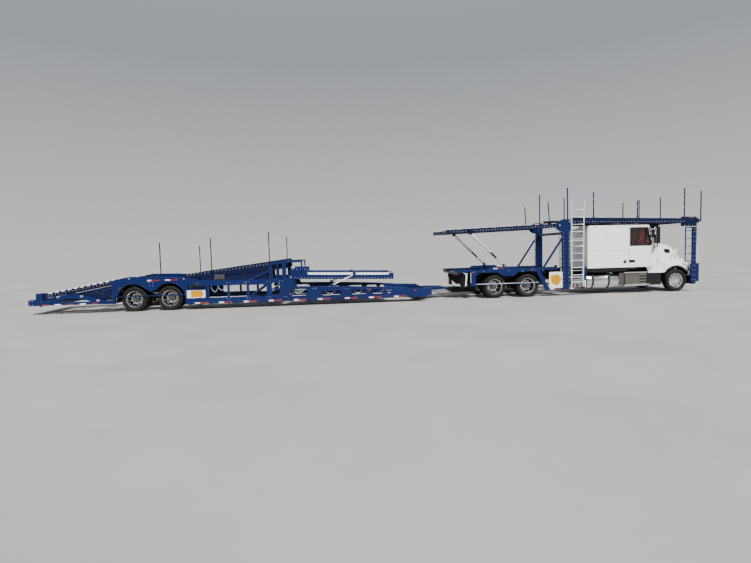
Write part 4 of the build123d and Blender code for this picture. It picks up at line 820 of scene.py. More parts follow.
def cushion(name, x, y, z, crown, mat, seams=(), n=18):
    """A crowned cushion in the given box: flat underneath, bulging on top and at the sides, with sunk seams."""
    w = Mesh()
    sx, sy, sz = (x[1] - x[0]) / 2, (y[1] - y[0]) / 2, (z[1] - z[0]) / 2
    cx, cy, cz = (x[0] + x[1]) / 2, (y[0] + y[1]) / 2, (z[0] + z[1]) / 2
    import bmesh
    bm = bmesh.new()
    bmesh.ops.create_cube(bm, size=2.0)
    bmesh.ops.subdivide_edges(bm, edges=bm.edges, cuts=n, use_grid_fill=True)
    for v in bm.verts:
        p = v.co.copy()
        e = 6.0
        k = (abs(p.x) ** e + abs(p.y) ** e + abs(p.z) ** e) ** (1 / e)
        q = p / k
        dome = (1 - q.x ** 4) * (1 - q.y ** 4)
        lift = q.z * (1 - crown + crown * dome)
        dip = 0.0
        for axis, at in seams:
            u = q.x if axis == "x" else q.y
            dip += 0.16 * math.exp(-((u - at) / 0.035) ** 2)
        if q.z > 0:
            lift -= dip * q.z * 0.8
        side = 1 - 0.05 * abs(q.z) ** 2
        v.co = (cx + q.x * sx * side, cy + q.y * sy * side, cz + lift * sz)
    w.add([v.co[:] for v in bm.verts], [[v.index for v in f.verts] for f in bm.faces])
    bm.free()
    ob = piece(name, w, mat, "truck", smooth=180)
    return ob


def turned_cushion(name, x, y, z, mat, seams):
    """A back rest: the same cushion with its crowned face looking forward."""
    ob = cushion(name, (0, z[1] - z[0]), y, (0, x[1] - x[0]), 0.35, mat, seams)
    ob.data.transform(Matrix.Translation((-XS, 0, 0)))
    ob.data.transform(Matrix(((0, 0, 1, x[0] + XS), (0, 1, 0, 0), (1, 0, 0, z[0]), (0, 0, 0, 1))))
    ob.data.flip_normals()
    ob.data.update()
    return ob


for s, label in SIDES:
    yy = (min(s * 0.335, s * 0.825), max(s * 0.335, s * 0.825))
    seats.append(cushion(f"seat_base_{label}", (-1.950, -1.440), yy, (1.335, 1.460), 0.4, M["seat"], (("y", -0.55), ("y", 0.55), ("x", 0.1))))
    seats.append(turned_cushion(f"seat_back_{label}", (-2.078, -1.945), yy, (1.42, 2.075), M["seat"], (("x", -0.35), ("x", 0.35), ("y", -0.6), ("y", 0.6))))
    w = Mesh().box((-1.90, -1.50), (s * 0.45, s * 0.71), (1.086, 1.110), 0, 0.004).box((-1.86, -1.54), (s * 0.47, s * 0.69), (1.105, 1.290), 0, 0.03).box((-1.92, -1.47), (s * 0.36, s * 0.80), (1.285, 1.345), 0, 0.01)
    w.pipe([(-1.93, s * 0.60, 1.32), (-2.005, s * 0.60, 1.34), (-2.02, s * 0.60, 1.45)], 0.02, 0, 10)
    seats.append(piece(f"seat_stand_{label}", w, M["trim"], "truck", bevel=0.004))
seats.append(cushion("bunk_mattress", (-3.665, -2.905), (-1.128, 1.128), (1.455, 1.598), 0.3, M["bed"], (("y", -0.5), ("y", 0.0), ("y", 0.5)), 26))
seats.append(piece("bunk_base", Mesh().box((-3.668, -2.902), (-1.128, 1.128), (1.422, 1.462), 0, 0.006), M["trim"], "truck"))
for ob in seats:
    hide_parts("seats")

# ---------------------------------------------------------------- truck: tanks, steps, bumper, frame
for s, label in SIDES:
    def Y(*v):
        return tuple(s * a for a in v)
    c = (0, s * 0.880, 0.515)
    w = Mesh()
    for x in (-3.490, -2.830):
        w.lathe([(0.3092, x - 0.027), (0.3120, x - 0.024), (0.3120, x + 0.024), (0.3092, x + 0.027)], c, 72, 0, 1, "x")
        w.lathe([(0.3000, x - 0.043), (0.3040, x - 0.041), (0.3040, x + 0.041), (0.3000, x + 0.043)], c, 72, 0, 1, "x")
        w.box((x - 0.022, x + 0.022), (s * 1.165 - 0.022, s * 1.165 + 0.012), (0.62, 0.70), 0, 0.003)
        w.rod((x, s * 1.150, 0.70), (x, s * 1.150, 0.735), 0.008, 1, 8)
    for x in (-3.7285, -2.4315):
        w.lathe([(0.272, x - 0.001), (0.300, x - 0.001), (0.3022, x), (0.3022, x + 0.001), (0.300, x + 0.001), (0.272, x + 0.001)], c, 72, 1, 1, "x")
    w.lathe([(0.001, 0.780), (0.062, 0.780), (0.062, 0.820), (0.052, 0.828), (0.001, 0.828)], (-2.62, s * 0.93, 0), 32, 1, 1, "z")
    for k in range(12):
        a = 2 * math.pi * k / 12
        w.rod((-2.62 + 0.061 * math.cos(a), s * 0.93 + 0.061 * math.sin(a), 0.795), (-2.62 + 0.061 * math.cos(a), s * 0.93 + 0.061 * math.sin(a), 0.822), 0.006, 1, 8)
    piece(f"tank_straps_{label}", w, [M["trim"], M["polished"]], "truck")
    # louvred tool box between two bright steps, each with a pierced tread
    w = Mesh().box((-2.205, -1.245), Y(1.1495, 1.1530), (0.327, 0.793), 0, 0.001)
    for k in range(11):
        z = 0.352 + 0.039 * k
        w.add([(x, s * yy, zz) for x in (-2.160, -1.562) for yy, zz in ((1.152, z), (1.168, z + 0.004), (1.170, z + 0.010), (1.154, z + 0.026))], [(0, 1, 5, 4), (1, 2, 6, 5), (2, 3, 7, 6), (0, 4, 7, 3), (0, 3, 2, 1), (4, 5, 6, 7)], 1)
    w.box((-2.192, -2.166), Y(1.152, 1.172), (0.335, 0.785), 0, 0.002).box((-1.558, -1.262), Y(1.152, 1.170), (0.335, 0.785), 1, 0.002)
    for z in (0.430, 0.545, 0.660):
        w.box((-1.550, -1.270), Y(1.1695, 1.1722), (z - 0.025, z + 0.025), 0, 0.0006)
    piece(f"tool_box_front_{label}", w, [M["trim"], M["louvre"]], "truck")
    # bright lip of the lower step, running on before the fairing
    piece(f"step_lip_{label}", Mesh().box((-2.170, -1.128), Y(1.1725, 1.1895), (0.3245, 0.352), 0, 0.003), M["polished"], "truck")
    # pierced bracket between the tank's end and the tool box
    w = Mesh().box((-2.362, -2.2095), Y(1.040, 1.110), (0.345, 0.795), 0, 0.004)
    for k in range(5):
        w.rod((-2.290, s * 1.109, 0.400 + 0.085 * k), (-2.290, s * 1.1115, 0.400 + 0.085 * k), 0.027, 1, 20)
    piece(f"tank_end_bracket_{label}", w, [M["louvre"], M["trim"]], "truck")
    w = Mesh()
    for z in (0.3245, 0.8295):
        for i in range(26):
            for j in range(2):
                x = -2.185 + 0.037 * i + 0.0185 * (j % 2)
                yy = 1.118 + 0.042 * j if z < 0.5 else 1.105 + 0.050 * j
                if x < -1.262:
                    w.lathe([(0.007, z), (0.012, z), (0.010, z + 0.004), (0.008, z + 0.004)], (x, s * yy, 0), 10, 0, 1, "z")
    piece(f"step_treads_{label}", w, M["polished"], "truck")
    w = Mesh().box((-1.2445, -0.6375), Y(0.918, 1.1635), (0.298, 0.774), 0, 0.004)
    for k in range(4):
        w.box((-1.20, -0.68), Y(1.1630, 1.1670), (0.36 + 0.10 * k, 0.368 + 0.10 * k), 0, 0.001)
    piece(f"fairing_cover_{label}", w, M["trim"], "truck", bevel=0.002)
    # bumper: lamp in its recess, a plate at its side
    w = Mesh()
    w.lathe([(0.001, 0.735), (0.060, 0.735), (0.066, 0.7605), (0.076, 0.7605), (0.078, 0.745), (0.078, 0.72), (0.001, 0.72)], (0, s * 0.62, 0.50), 36, 0, 1, "x")
    w.lathe([(0.001, 0.7575), (0.030, 0.7565), (0.058, 0.7525), (0.058, 0.742), (0.001, 0.742)], (0, s * 0.62, 0.50), 36, 1, 1, "x")
    w.box((0.600, 0.655), Y(1.1675, 1.1715), (0.36, 0.60), 0, 0.001)
    piece(f"bumper_lamp_{label}", w, [M["trim"], M["lamp"]], "truck")
    # behind the cab: mud flaps
    w = Mesh().box((-8.700, -8.690), Y(0.66, 1.235), (0.42, 0.99), 0, 0.003).box((-8.705, -8.685), Y(0.62, 1.240), (0.985, 1.028), 1, 0.003)
    w.prism([(-8.62, 0.99), (-8.57, 0.99), (-8.60, 0.52), (-8.66, 0.50)], Y(1.232, 1.240), 2)
    w.box((-8.69, -8.60), Y(1.10, 1.236), (0.975, 0.990), 2, 0.002)
    piece(f"truck_mud_flap_{label}", w, [M["flap_black"], M["zinc"], M["white_panel"]], "truck")
    w = Mesh().box((-6.860, -6.850), Y(0.67, 1.22), (0.955, 0.99), 1, 0.002)
    w.box((-8.455, -8.435), Y(1.20, 1.294), (0.62, 1.02), 1, 0.003)
    piece(f"truck_tail_plate_{label}", w, [M["flap_black"], M["zinc"]], "truck")
    # amber shape on a white panel
    w = Mesh().box((-5.333, -4.802), Y(1.2838, 1.2862), (0.322, 0.943), 0, 0.0008)
    pts = []
    for k in range(40):
        a = 2 * math.pi * k / 40
        r = 1 + 0.10 * math.cos(5 * a) + 0.05 * math.sin(3 * a)
        pts.append((-5.062 + 0.215 * r * math.cos(a), 0.645 + 0.205 * r * math.sin(a)))
    w.prism(pts, Y(1.2860, 1.2872), 1)
    piece(f"truck_panel_{label}", w, [M["white_panel"], M["amber_panel"]], "truck")
    w = Mesh().box((-18.975, -18.330), Y(1.2898, 1.2918), (0.425, 0.700), 0, 0.0008)
    w.prism([(-18.62 + 0.235 * (1 + 0.07 * math.cos(6 * 2 * math.pi * k / 36)) * max(-0.92, min(0.92, 1.25 * math.cos(2 * math.pi * k / 36))), 0.572 + 0.125 * max(-0.95, min(0.95, 1.2 * math.sin(2 * math.pi * k / 36)))) for k in range(36)], Y(1.2916, 1.2928), 1)
    piece(f"trailer_panel_{label}", w, [M["white_panel"], M["amber_panel"]], "trailer")

w = Mesh().box((0.7545, 0.7590), (-0.155, 0.155), (0.395, 0.545), 0, 0.001).box((0.752, 0.7555), (-0.165, 0.165), (0.385, 0.555), 1, 0.001)
for yy in (-0.12, 0.12):
    w.rod((0.758, yy, 0.525), (0.7615, yy, 0.525), 0.006, 1, 8)
piece("front_plate_blank", w, [M["white_panel"], M["trim"]], "truck")
w = Mesh()
for k in range(13):
    t = k / 12
    x, z = 0.664 - 0.090 * max(0.0, t - 0.1), 0.838 + 0.300 * t
    w.box((x - 0.020, x - 0.006), (-0.298, 0.298), (z - 0.004, z + 0.004), 0, 0.0015)
w.box((0.560, 0.566), (-0.335, 0.335), (0.800, 1.170), 1)
piece("grille_bars", w, [M["polished"], M["mesh"]], "hood")

# ---------------------------------------------------------------- racks on the truck
for s, label in SIDES:
    def Y(*v):
        return tuple(s * a for a in v)
    w = Mesh()
    # hinge pin caps, bolt rows and gussets on the main tower
    for x, z, r in ((-4.500, 2.875, 0.044), (-4.900, 2.740, 0.040)):
        w.lathe([(0.001, 1.2865), (r * 0.55, 1.2865), (r * 0.62, 1.2935), (r * 0.50, 1.2955), (0.001, 1.2955)], (x, 0, z), 24, 1, s)
        w.lathe([(r + 0.004, 1.2895), (r + 0.030, 1.2895), (r + 0.028, 1.2945), (r + 0.006, 1.2945)], (x, 0, z), 32, 0, s)
    for z in [0.42 + 0.155 * k for k in range(14)]:
        for x in (-4.752, -4.538):
            w.rod((x, s * 1.289, z), (x, s * 1.2955, z), 0.011, 1, 6)
    for z0 in (0.80, 1.30, 1.80, 2.30):
        w.box((-4.672, -4.618), Y(1.268, 1.280), (z0, z0 + 0.09), 2, 0.003)
    # a winch with its ratchet at the foot
    w.rod((-4.86, s * 1.18, 0.46), (-4.86, s * 1.28, 0.46), 0.045, 1, 24)
    w.lathe([(0.001, 1.196), (0.070, 1.196), (0.070, 1.206), (0.001, 1.206)], (-4.86, 0, 0.46), 24, 1, s)
    w.box((-4.93, -4.79), Y(1.245, 1.275), (0.36, 0.52), 2, 0.004)
    piece(f"tower_fittings_{label}", w, [M["navy"], M["zinc"], M["blue"]], "truck")
    w = Mesh()
    # rigid hydraulic lines up the tower, with clips
    for k in range(3):
        x = -4.800 - 0.020 * k
        w.pipe([(x, s * 1.215, 0.95), (x, s * 1.215, 2.20), (x, s * 1.20, 2.30), (x - 0.05 - 0.02 * k, s * 1.18, 2.38)], 0.0065, 0, 8)
    for z in (1.10, 1.45, 1.80, 2.12):
        w.box((-4.850, -4.778), Y(1.200, 1.228), (z, z + 0.02), 1, 0.002)
    piece(f"tower_lines_{label}", w, [M["zinc"], M["trim"]], "truck")
    w = Mesh()
    # front posts: bolts, key slots, guide collars of the lift cylinder, marker lamp
    for z in [0.46 + 0.19 * k for k in range(11)]:
        w.rod((0.625, s * 1.289, z), (0.625, s * 1.2955, z), 0.010, 1, 6).rod((0.720, s * 1.289, z), (0.720, s * 1.2955, z), 0.010, 1, 6)
    for z in [0.55 + 0.24 * k for k in range(8)]:
        w.box((0.655, 0.690), Y(1.2895, 1.2915), (z, z + 0.075), 2, 0.0008)
    w.lathe([(0.0275, 1.112), (0.046, 1.112), (0.046, 1.150), (0.0275, 1.150)], (0.800, s * 1.252, 0), 28, 1, 1, "z")
    w.box((0.640, 0.700), Y(1.2895, 1.300), (2.44, 2.50), 2, 0.004)
    w.box((0.648, 0.692), Y(1.299, 1.312), (2.448, 2.492), 3, 0.006)
    piece(f"front_post_fittings_{label}", w, [M["blue"], M["zinc"], M["trim"], M["lens_amber"]], "truck")
    # bright sleeve of the lift cylinder, over the post's box
    w = Mesh().lathe([(0.0290, 1.1515), (0.0440, 1.1515), (0.0470, 1.1545), (0.0470, 1.890), (0.0505, 1.894), (0.0505, 1.924), (0.0480, 1.927), (0.0290, 1.927)], (0.800, s * 1.252, 0), 40, 0, 1, "z")
    for z in (1.30, 1.74):
        w.box((0.738, 0.800), Y(1.204, 1.214), (z, z + 0.035), 1, 0.002)
    piece(f"lift_sleeve_{label}", w, [M["ladder"], M["blue"]], "truck")
    # post between the ladder's foot and the sleeper, blue above, white below
    w = Mesh().box((-3.922, -3.805), Y(1.250, 1.286), (0.585, 1.100), 0, 0.006).box((-3.897, -3.842), Y(1.252, 1.284), (0.318, 0.590), 1, 0.004)
    piece(f"foot_post_{label}", w, [M["blue"], M["white_panel"]], "truck")
    w = Mesh()
    # lower side frame: lamps, markings, bolts
    for x in (-8.30, -7.95, -6.95, -6.40, -5.95, -5.60):
        w.rod((x, s * 1.2895, 1.045), (x, s * 1.2955, 1.045), 0.012, 1, 6)
    for x0, x1, z0, z1, m in ((-7.56, -7.40, 1.130, 1.165, 4), (-7.40, -7.12, 1.130, 1.165, 3), (-5.30, -5.12, 0.262, 0.306, 4), (-5.12, -4.86, 0.262, 0.306, 3), (-4.50, -4.34, 0.262, 0.306, 4), (-4.34, -4.06, 0.262, 0.306, 3)):
        w.box((x0, x1), Y(1.2895, 1.2908), (z0, z1), m)
    for x, z in ((-6.05, 1.045), (-8.36, 1.02), (-3.86, 0.285)):
        w.box((x - 0.045, x + 0.045), Y(1.2895, 1.294), (z - 0.022, z + 0.022), 2, 0.001).box((x - 0.036, x + 0.036), Y(1.293, 1.305), (z - 0.015, z + 0.015), 5, 0.005)
    piece(f"lower_frame_fittings_{label}", w, [M["blue"], M["zinc"], M["trim"], M["mark_red"], M["mark_white"], M["lens_amber"]], "truck")
    # pins of the deck strut's foot
    w = Mesh().rod((-7.100, s * 1.2895, 1.240), (-7.100, s * 1.296, 1.240), 0.020, 0, 20).box((-7.118, -7.082), Y(1.176, 1.182), (1.222, 1.258), 0, 0.002)
    piece(f"strut_foot_pin_{label}", w, M["zinc"], "truck")
    # bright tube over the strut's rod, sliding over the barrel, and the bare metal at the barrel's foot
    foot, head = Vector((-7.100, s * 1.235, 1.240)), Vector((-8.420, s * 1.235, 2.515))
    place = Matrix.Translation(foot) @ (head - foot).to_track_quat("Z", "Y").to_matrix().to_4x4()
    tube = Mesh().lathe([(0.0412, 0.776), (0.0470, 0.775), (0.0480, 0.778), (0.0480, 1.722), (0.0430, 1.733), (0.0275, 1.733), (0.0275, 1.7265), (0.0412, 1.7265)], (0, 0, 0), 40, 0, 1, "z")
    tube.lathe([(0.0478, 0.782), (0.0492, 0.784), (0.0492, 0.812), (0.0478, 0.814)], (0, 0, 0), 40, 1, 1, "z")
    piece(f"deck_strut_tube_{label}", Mesh().merge(tube, place), [M["ladder"], M["zinc"]], "deck_strut_rods")
    band = Mesh().lathe([(0.0370, 0.100), (0.0394, 0.102), (0.0394, 0.445), (0.0370, 0.447)], (0, 0, 0), 40, 0, 1, "z")
    piece(f"deck_strut_band_{label}", Mesh().merge(band, place), M["zinc"], "deck_strut_barrels")

# lever bank behind the ladder's foot
w = Mesh().box((-4.36, -4.02), (-1.245, -1.150), (0.440, 0.560), 0, 0.008).box((-4.30, -4.26), (-1.284, -1.20), (0.318, 0.442), 0, 0.004).box((-4.12, -4.08), (-1.284, -1.20), (0.318, 0.442), 0, 0.004)
for k in range(7):
    x = -4.325 + 0.045 * k
    w.rod((x, -1.215, 0.555), (x + 0.004, -1.222, 0.680), 0.005, 1, 8)
    w.dome((x + 0.004, -1.222, 0.680), 0.012, 0.014, 2, 12, 4, "z").dome((x + 0.004, -1.222, 0.680), 0.012, 0.010, 2, 12, 4, "z", -1)
    w.rod((x, -1.150, 0.47), (x, -1.130, 0.47), 0.010, 1, 6)
piece("lever_bank", w, [M["flap"], M["zinc"], M["trim"]], "truck")
w = Mesh()
for k in range(11):
    z = 0.520 + 0.280 * k
    xt = -3.953 + 0.0034 * k
    for i in range(9):
        x = -4.400 + (xt - 0.03 + 4.400) * i / 8
        w.lathe([(0.0138, x - 0.006), (0.0158, x - 0.003), (0.0158, x + 0.003), (0.0138, x + 0.006)], (0, -1.272, z), 14, 0, 1, "x")
for foot, tp in ((-4.424, -4.424), (-3.956, -3.915)):
    w.box((foot - 0.028, foot + 0.028), (-1.289, -1.255), (0.318, 0.350), 1, 0.006)
piece("ladder_grips", w, [M["ladder"], M["trim"]], "truck")


# ---------------------------------------------------------------- decks
def seat_of(hinge, tilt, back=False):
    m = Matrix.Translation((hinge[0], 0, hinge[1]))
    if back:
        m = m @ Matrix.Rotation(math.pi, 4, "Z")
    return m @ Matrix.Rotation(math.radians(tilt), 4, "Y")


def deck_details(name, body, seat, x0, x1, half, z_low, z_high, drop, eyes=0.12, eye_z=0.35, plates=True, skip=None, bright=False, dashes=0.0, inner=0.545, cleat=0.010, patch=0.0):
    """Row of eyes along the beams, tread plates in the tracks with raised cleats, pipe runs, and white dashes on the
    flanges with optional white strips below them: painted highlight of the sunlit slats.
    """
    def at(pair, x):
        return pair[0] + (pair[1] - pair[0]) * (x - x0) / (x1 - x0)
    eye, tread, line = Mesh(), Mesh(), Mesh()
    for s in (-1, 1):
        n = int((x1 - x0 - 0.16) / eyes)
        for k in range(n + 1):
            x = x0 + 0.08 + eyes * k
            lo, hi = at(z_low, x), at(z_high, x)
            z = lo + (hi - lo) * eye_z
            if skip and skip[0] < x < skip[1]:
                continue
            eye.lathe([(0.0135, half - 0.001), (0.0200, half - 0.001), (0.0195, half + 0.0022), (0.0150, half + 0.0022)], (x, 0, z), 14, 0, s)
            eye.lathe([(0.0002, half + 0.0006), (0.0145, half + 0.0006), (0.0145, half - 0.0008), (0.0002, half - 0.0008)], (x, 0, z), 14, 1, s)
        # painted highlight: white dashes, and white strips below them, stand in for the sunlit edges of the flanges'
        # slats
        if dashes:
            k = 0
            x = x0 + 0.05
            while x < x1 - 0.12:
                z = at(z_high, x + 0.05)
                eye.box((x, x + dashes * 0.55), (s * (half - 0.056), s * (half - 0.003)), (z - 0.001, z + cleat), 2, 0.001)
                if patch:
                    a, b = at(z_high, x) - 0.003, at(z_high, x + dashes * 0.55) - 0.003
                    eye.prism([(x, a - patch), (x + dashes * 0.55, b - patch), (x + dashes * 0.55, b), (x, a)], (s * (half - 0.001), s * (half + 0.0018)), 2)
                x += dashes
        if plates:
            step = 0.62
            k = 0
            while x0 + 0.02 + step * k < x1 - 0.10:
                a = x0 + 0.02 + step * k
                b = min(a + step - 0.012, x1 - 0.02)
                za, zb = at(z_high, a) - drop, at(z_high, b) - drop
                ya, yb = inner + 0.006, half - 0.016 - (0.046 if drop < 0.03 else 0)
                p = [(x, s * yy, z + h) for x, z in ((a, za), (b, zb)) for yy in (ya, yb) for h in (-0.001, 0.0035)]
                tread.add(p, [(0, 1, 3, 2), (4, 6, 7, 5), (0, 4, 5, 1), (2, 3, 7, 6), (0, 2, 6, 4), (1, 5, 7, 3)], 0)
                k += 1
            x = x0 + 0.10
            while x < x1 - 0.06:
                z = at(z_high, x) - drop
                tread.box((x - 0.006, x + 0.006), (s * (inner + 0.020), s * (half - 0.075)), (z + 0.002, z + 0.0075), 1, 0.002)
                x += 0.155
        xs = [x0 + 0.15 + (x1 - x0 - 0.3) * k / 24 for k in range(25)]
        line.pipe([(x, s * (half - 0.078), (at(z_low, x) + at(z_high, x)) / 2 - 0.020) for x in xs], 0.007, 0, 8)
        line.pipe([(x, s * (half - 0.078), (at(z_low, x) + at(z_high, x)) / 2 + 0.004) for x in xs], 0.007, 0, 8)
        for x in xs[::3]:
            z = (at(z_low, x) + at(z_high, x)) / 2
            line.box((x - 0.010, x + 0.010), (s * (half - 0.088), s * (half - 0.010)), (z - 0.034, z + 0.018), 1, 0.002)
    top = M["track_bright"] if bright else M["track"]
    piece(f"{name}_eyes", Mesh().merge(eye, seat), [M["zinc"], M["black"], M["deck_white"]], body)
    if plates:
        piece(f"{name}_plates", Mesh().merge(tread, seat), [top, M["deck_white"] if bright else M["navy"]], body, bevel=0.001)
    piece(f"{name}_lines", Mesh().merge(line, seat), [M["zinc"], M["trim"]], body)


HEAD = seat_of((-4.500, 2.875), 1.5)
REAR = seat_of((-4.900, 2.740), 1.9, True)
FRONT_DECK = seat_of((-15.230, 1.066), 1.8)
BACK_DECK = seat_of((-19.060, 1.130), -7.0)
RAMP = seat_of((-20.960, 1.195), 10.2, True)
deck_details("head_deck", "head_deck", HEAD, 0.060, 5.400, 1.236, (-0.075, -0.015), (0.160, 0.160), 0.060, 0.115, 0.30, skip=(4.74, 5.33))
deck_details("rear_deck", "truck_rear_deck", REAR, 0.040, 4.450, 1.170, (-0.075, -0.070), (0.080, 0.075), 0.060, 0.115, 0.42, dashes=0.34)
# the forward deck's plates and cleats are light: painted highlight of its sunlit top
deck_details("front_deck", "trailer_front_deck", FRONT_DECK, 0.040, 3.830, 1.165, (-0.075, -0.075), (0.150, 0.150), 0.002, 0.125, 0.22, bright=True)
deck_details("back_deck", "trailer_back_deck", BACK_DECK, 0.040, 3.740, 1.170, (-0.040, -0.190), (0.155, 0.155), 0.060, 0.125, 0.75)
deck_details("tail_ramp", "tail_ramp", RAMP, 0.030, 2.985, 1.170, (-0.060, -0.060), (0.070, 0.070), 0.060, 0.12, 0.40, dashes=0.22, cleat=0.016, patch=0.024)


# white caps on the beams of the forward deck of the trailer, with white plates between the beams: painted highlight of
# the deck's sunlit top
w = Mesh()
for s in (-1, 1):
    x = 0.62
    while x < 3.60:
        b = min(x + 0.735, 3.64)
        w.box((x, b - 0.006), (s * 1.103, s * 1.1672), (0.088, 0.1540), 0, 0.003)
        x += 0.735
    w.box((0.62, 3.64), (s * 0.10, s * 0.535), (0.128, 0.1335), 0, 0.001)
    for k in range(5):
        w.box((0.86 + 0.62 * k, 0.89 + 0.62 * k), (s * 0.02, s * 0.56), (0.098, 0.129), 1, 0.002)
piece("front_deck_highlight_caps", Mesh().merge(w, FRONT_DECK), [M["deck_white"], M["blue"]], "trailer_front_deck", bevel=0.001)


def flat_plates(name, body, x0, x1, z, y0, y1, mats):
    w = Mesh()
    for s in (-1, 1):
        a = x0
        while a < x1 - 0.05:
            b = min(a + 0.70, x1)
            w.box((a + 0.006, b - 0.006), (s * y0, s * y1), (z - 0.001, z + 0.0035), 0)
            a += 0.70
        x = x0 + 0.09
        while x < x1 - 0.05:
            w.box((x - 0.006, x + 0.006), (s * (y0 + 0.03), s * (y1 - 0.03)), (z + 0.002, z + 0.0075), 1, 0.002)
            x += 0.155
    piece(name, w, mats, body, bevel=0.001)


flat_plates("lower_deck_plates", "truck", -8.945, -4.795, 1.060, 0.580, 1.115, [M["track"], M["navy"]])
flat_plates("trailer_floor_plates", "trailer", -18.890, -10.470, 0.240, 0.570, 1.245, [M["track_bright"], M["deck_white"]])
flat_plates("over_wheel_plates", "trailer", -20.895, -19.135, 1.065, 0.570, 1.165, [M["track"], M["navy"]])
flat_plates("inner_floor_plates", "trailer", -18.890, -15.490, 1.008, 0.570, 1.185, [M["track"], M["navy"]])

# deck boxes, their bolts and lamps
w = Mesh()
for s in (-1, 1):
    for x in (4.79, 4.96, 5.12, 5.28):
        for z in (-0.125, 0.20):
            w.rod((x, s * 1.2355, z), (x, s * 1.2395, z), 0.012, 0, 6)
    w.box((5.3095, 5.3175), (s * 1.10, s * 1.20), (0.05, 0.10), 1, 0.002).box((5.316, 5.330), (s * 1.11, s * 1.19), (0.058, 0.092), 2, 0.005)
    w.box((5.02, 5.10), (s * 1.2355, s * 1.2390), (0.165, 0.205), 2, 0.0012)
piece("head_deck_lamps", Mesh().merge(w, HEAD), [M["zinc"], M["trim"], M["lens_amber"]], "head_deck")
w = Mesh()
for s in (-1, 1):
    for yy in (0.95, 1.06):
        w.box((4.4495, 4.4535), (s * (yy - 0.045), s * (yy + 0.045)), (-0.035, 0.035), 0, 0.001).box((4.453, 4.465), (s * (yy - 0.036), s * (yy + 0.036)), (-0.026, 0.026), 1, 0.005)
    w.lathe([(0.0215, 0.90), (0.030, 0.90), (0.030, 0.915), (0.0215, 0.915)], (0.360, s * 1.145, 0), 20, 2, 1, "z")
piece("rear_deck_lamps", Mesh().merge(w, REAR), [M["trim"], M["lens_red"], M["zinc"]], "truck_rear_deck")
w = Mesh()
for s in (-1, 1):
    for x in (0.05, 0.20, 0.35, 0.50):
        w.rod((x, s * 1.1645, 0.285), (x, s * 1.1700, 0.285), 0.012, 0, 6)
    w.box((0.59, 0.5925), (s * 1.10, s * 1.15), (0.19, 0.29), 0, 0.001)
piece("front_deck_bolts", Mesh().merge(w, FRONT_DECK), M["zinc"], "trailer_front_deck")

# stanchions: collars and rope eyes
w = Mesh()
for x, s, top_z in ((0.985, -1, 3.970), (0.290, -1, 4.105), (-1.683, -1, 3.640), (-3.491, -1, 4.010), (0.985, 1, 3.970), (-0.020, 1, 3.880), (-0.780, 1, 3.760), (-3.491, 1, 4.010)):
    z0 = 2.875 + 0.160 - (x + 4.500) * math.tan(math.radians(1.5))
    yy = s * (1.210 if x > 0.9 else 1.206)
    if x < 0.9:
        w.lathe([(0.0222, z0 + 0.004), (0.0305, z0 + 0.004), (0.0305, z0 + 0.070), (0.0222, z0 + 0.080)], (x, yy, 0), 20, 0, 1, "z")
    w.rod((x, yy - 0.034, z0 + 0.040), (x, yy + 0.034, z0 + 0.040), 0.006, 1, 8)
    for z in (z0 + 0.42, z0 + 0.72):
        if z < top_z - 0.05 and x < 0.9:
            w.lathe([(0.0222, z), (0.0270, z), (0.0270, z + 0.016), (0.0222, z + 0.016)], (x, yy, 0), 18, 1, 1, "z")
piece("head_stanchion_fittings", w, [M["navy"], M["zinc"]], "head_deck")
w = Mesh()
for x, s, z0, z1 in ((-19.847, -1, 1.230, 2.445), (-18.063, -1, 1.092, 2.579), (-15.985, -1, 1.612, 2.746), (-19.093, 1, 1.190, 2.341), (-15.544, 1, 1.662, 2.621)):
    w.lathe([(0.0192, z0 + 0.60), (0.0245, z0 + 0.60), (0.0245, z0 + 0.616), (0.0192, z0 + 0.616)], (x, s * 1.270, 0), 18, 1, 1, "z")
piece("trailer_stanchion_fittings", w, [M["navy"], M["zinc"]], "trailer")

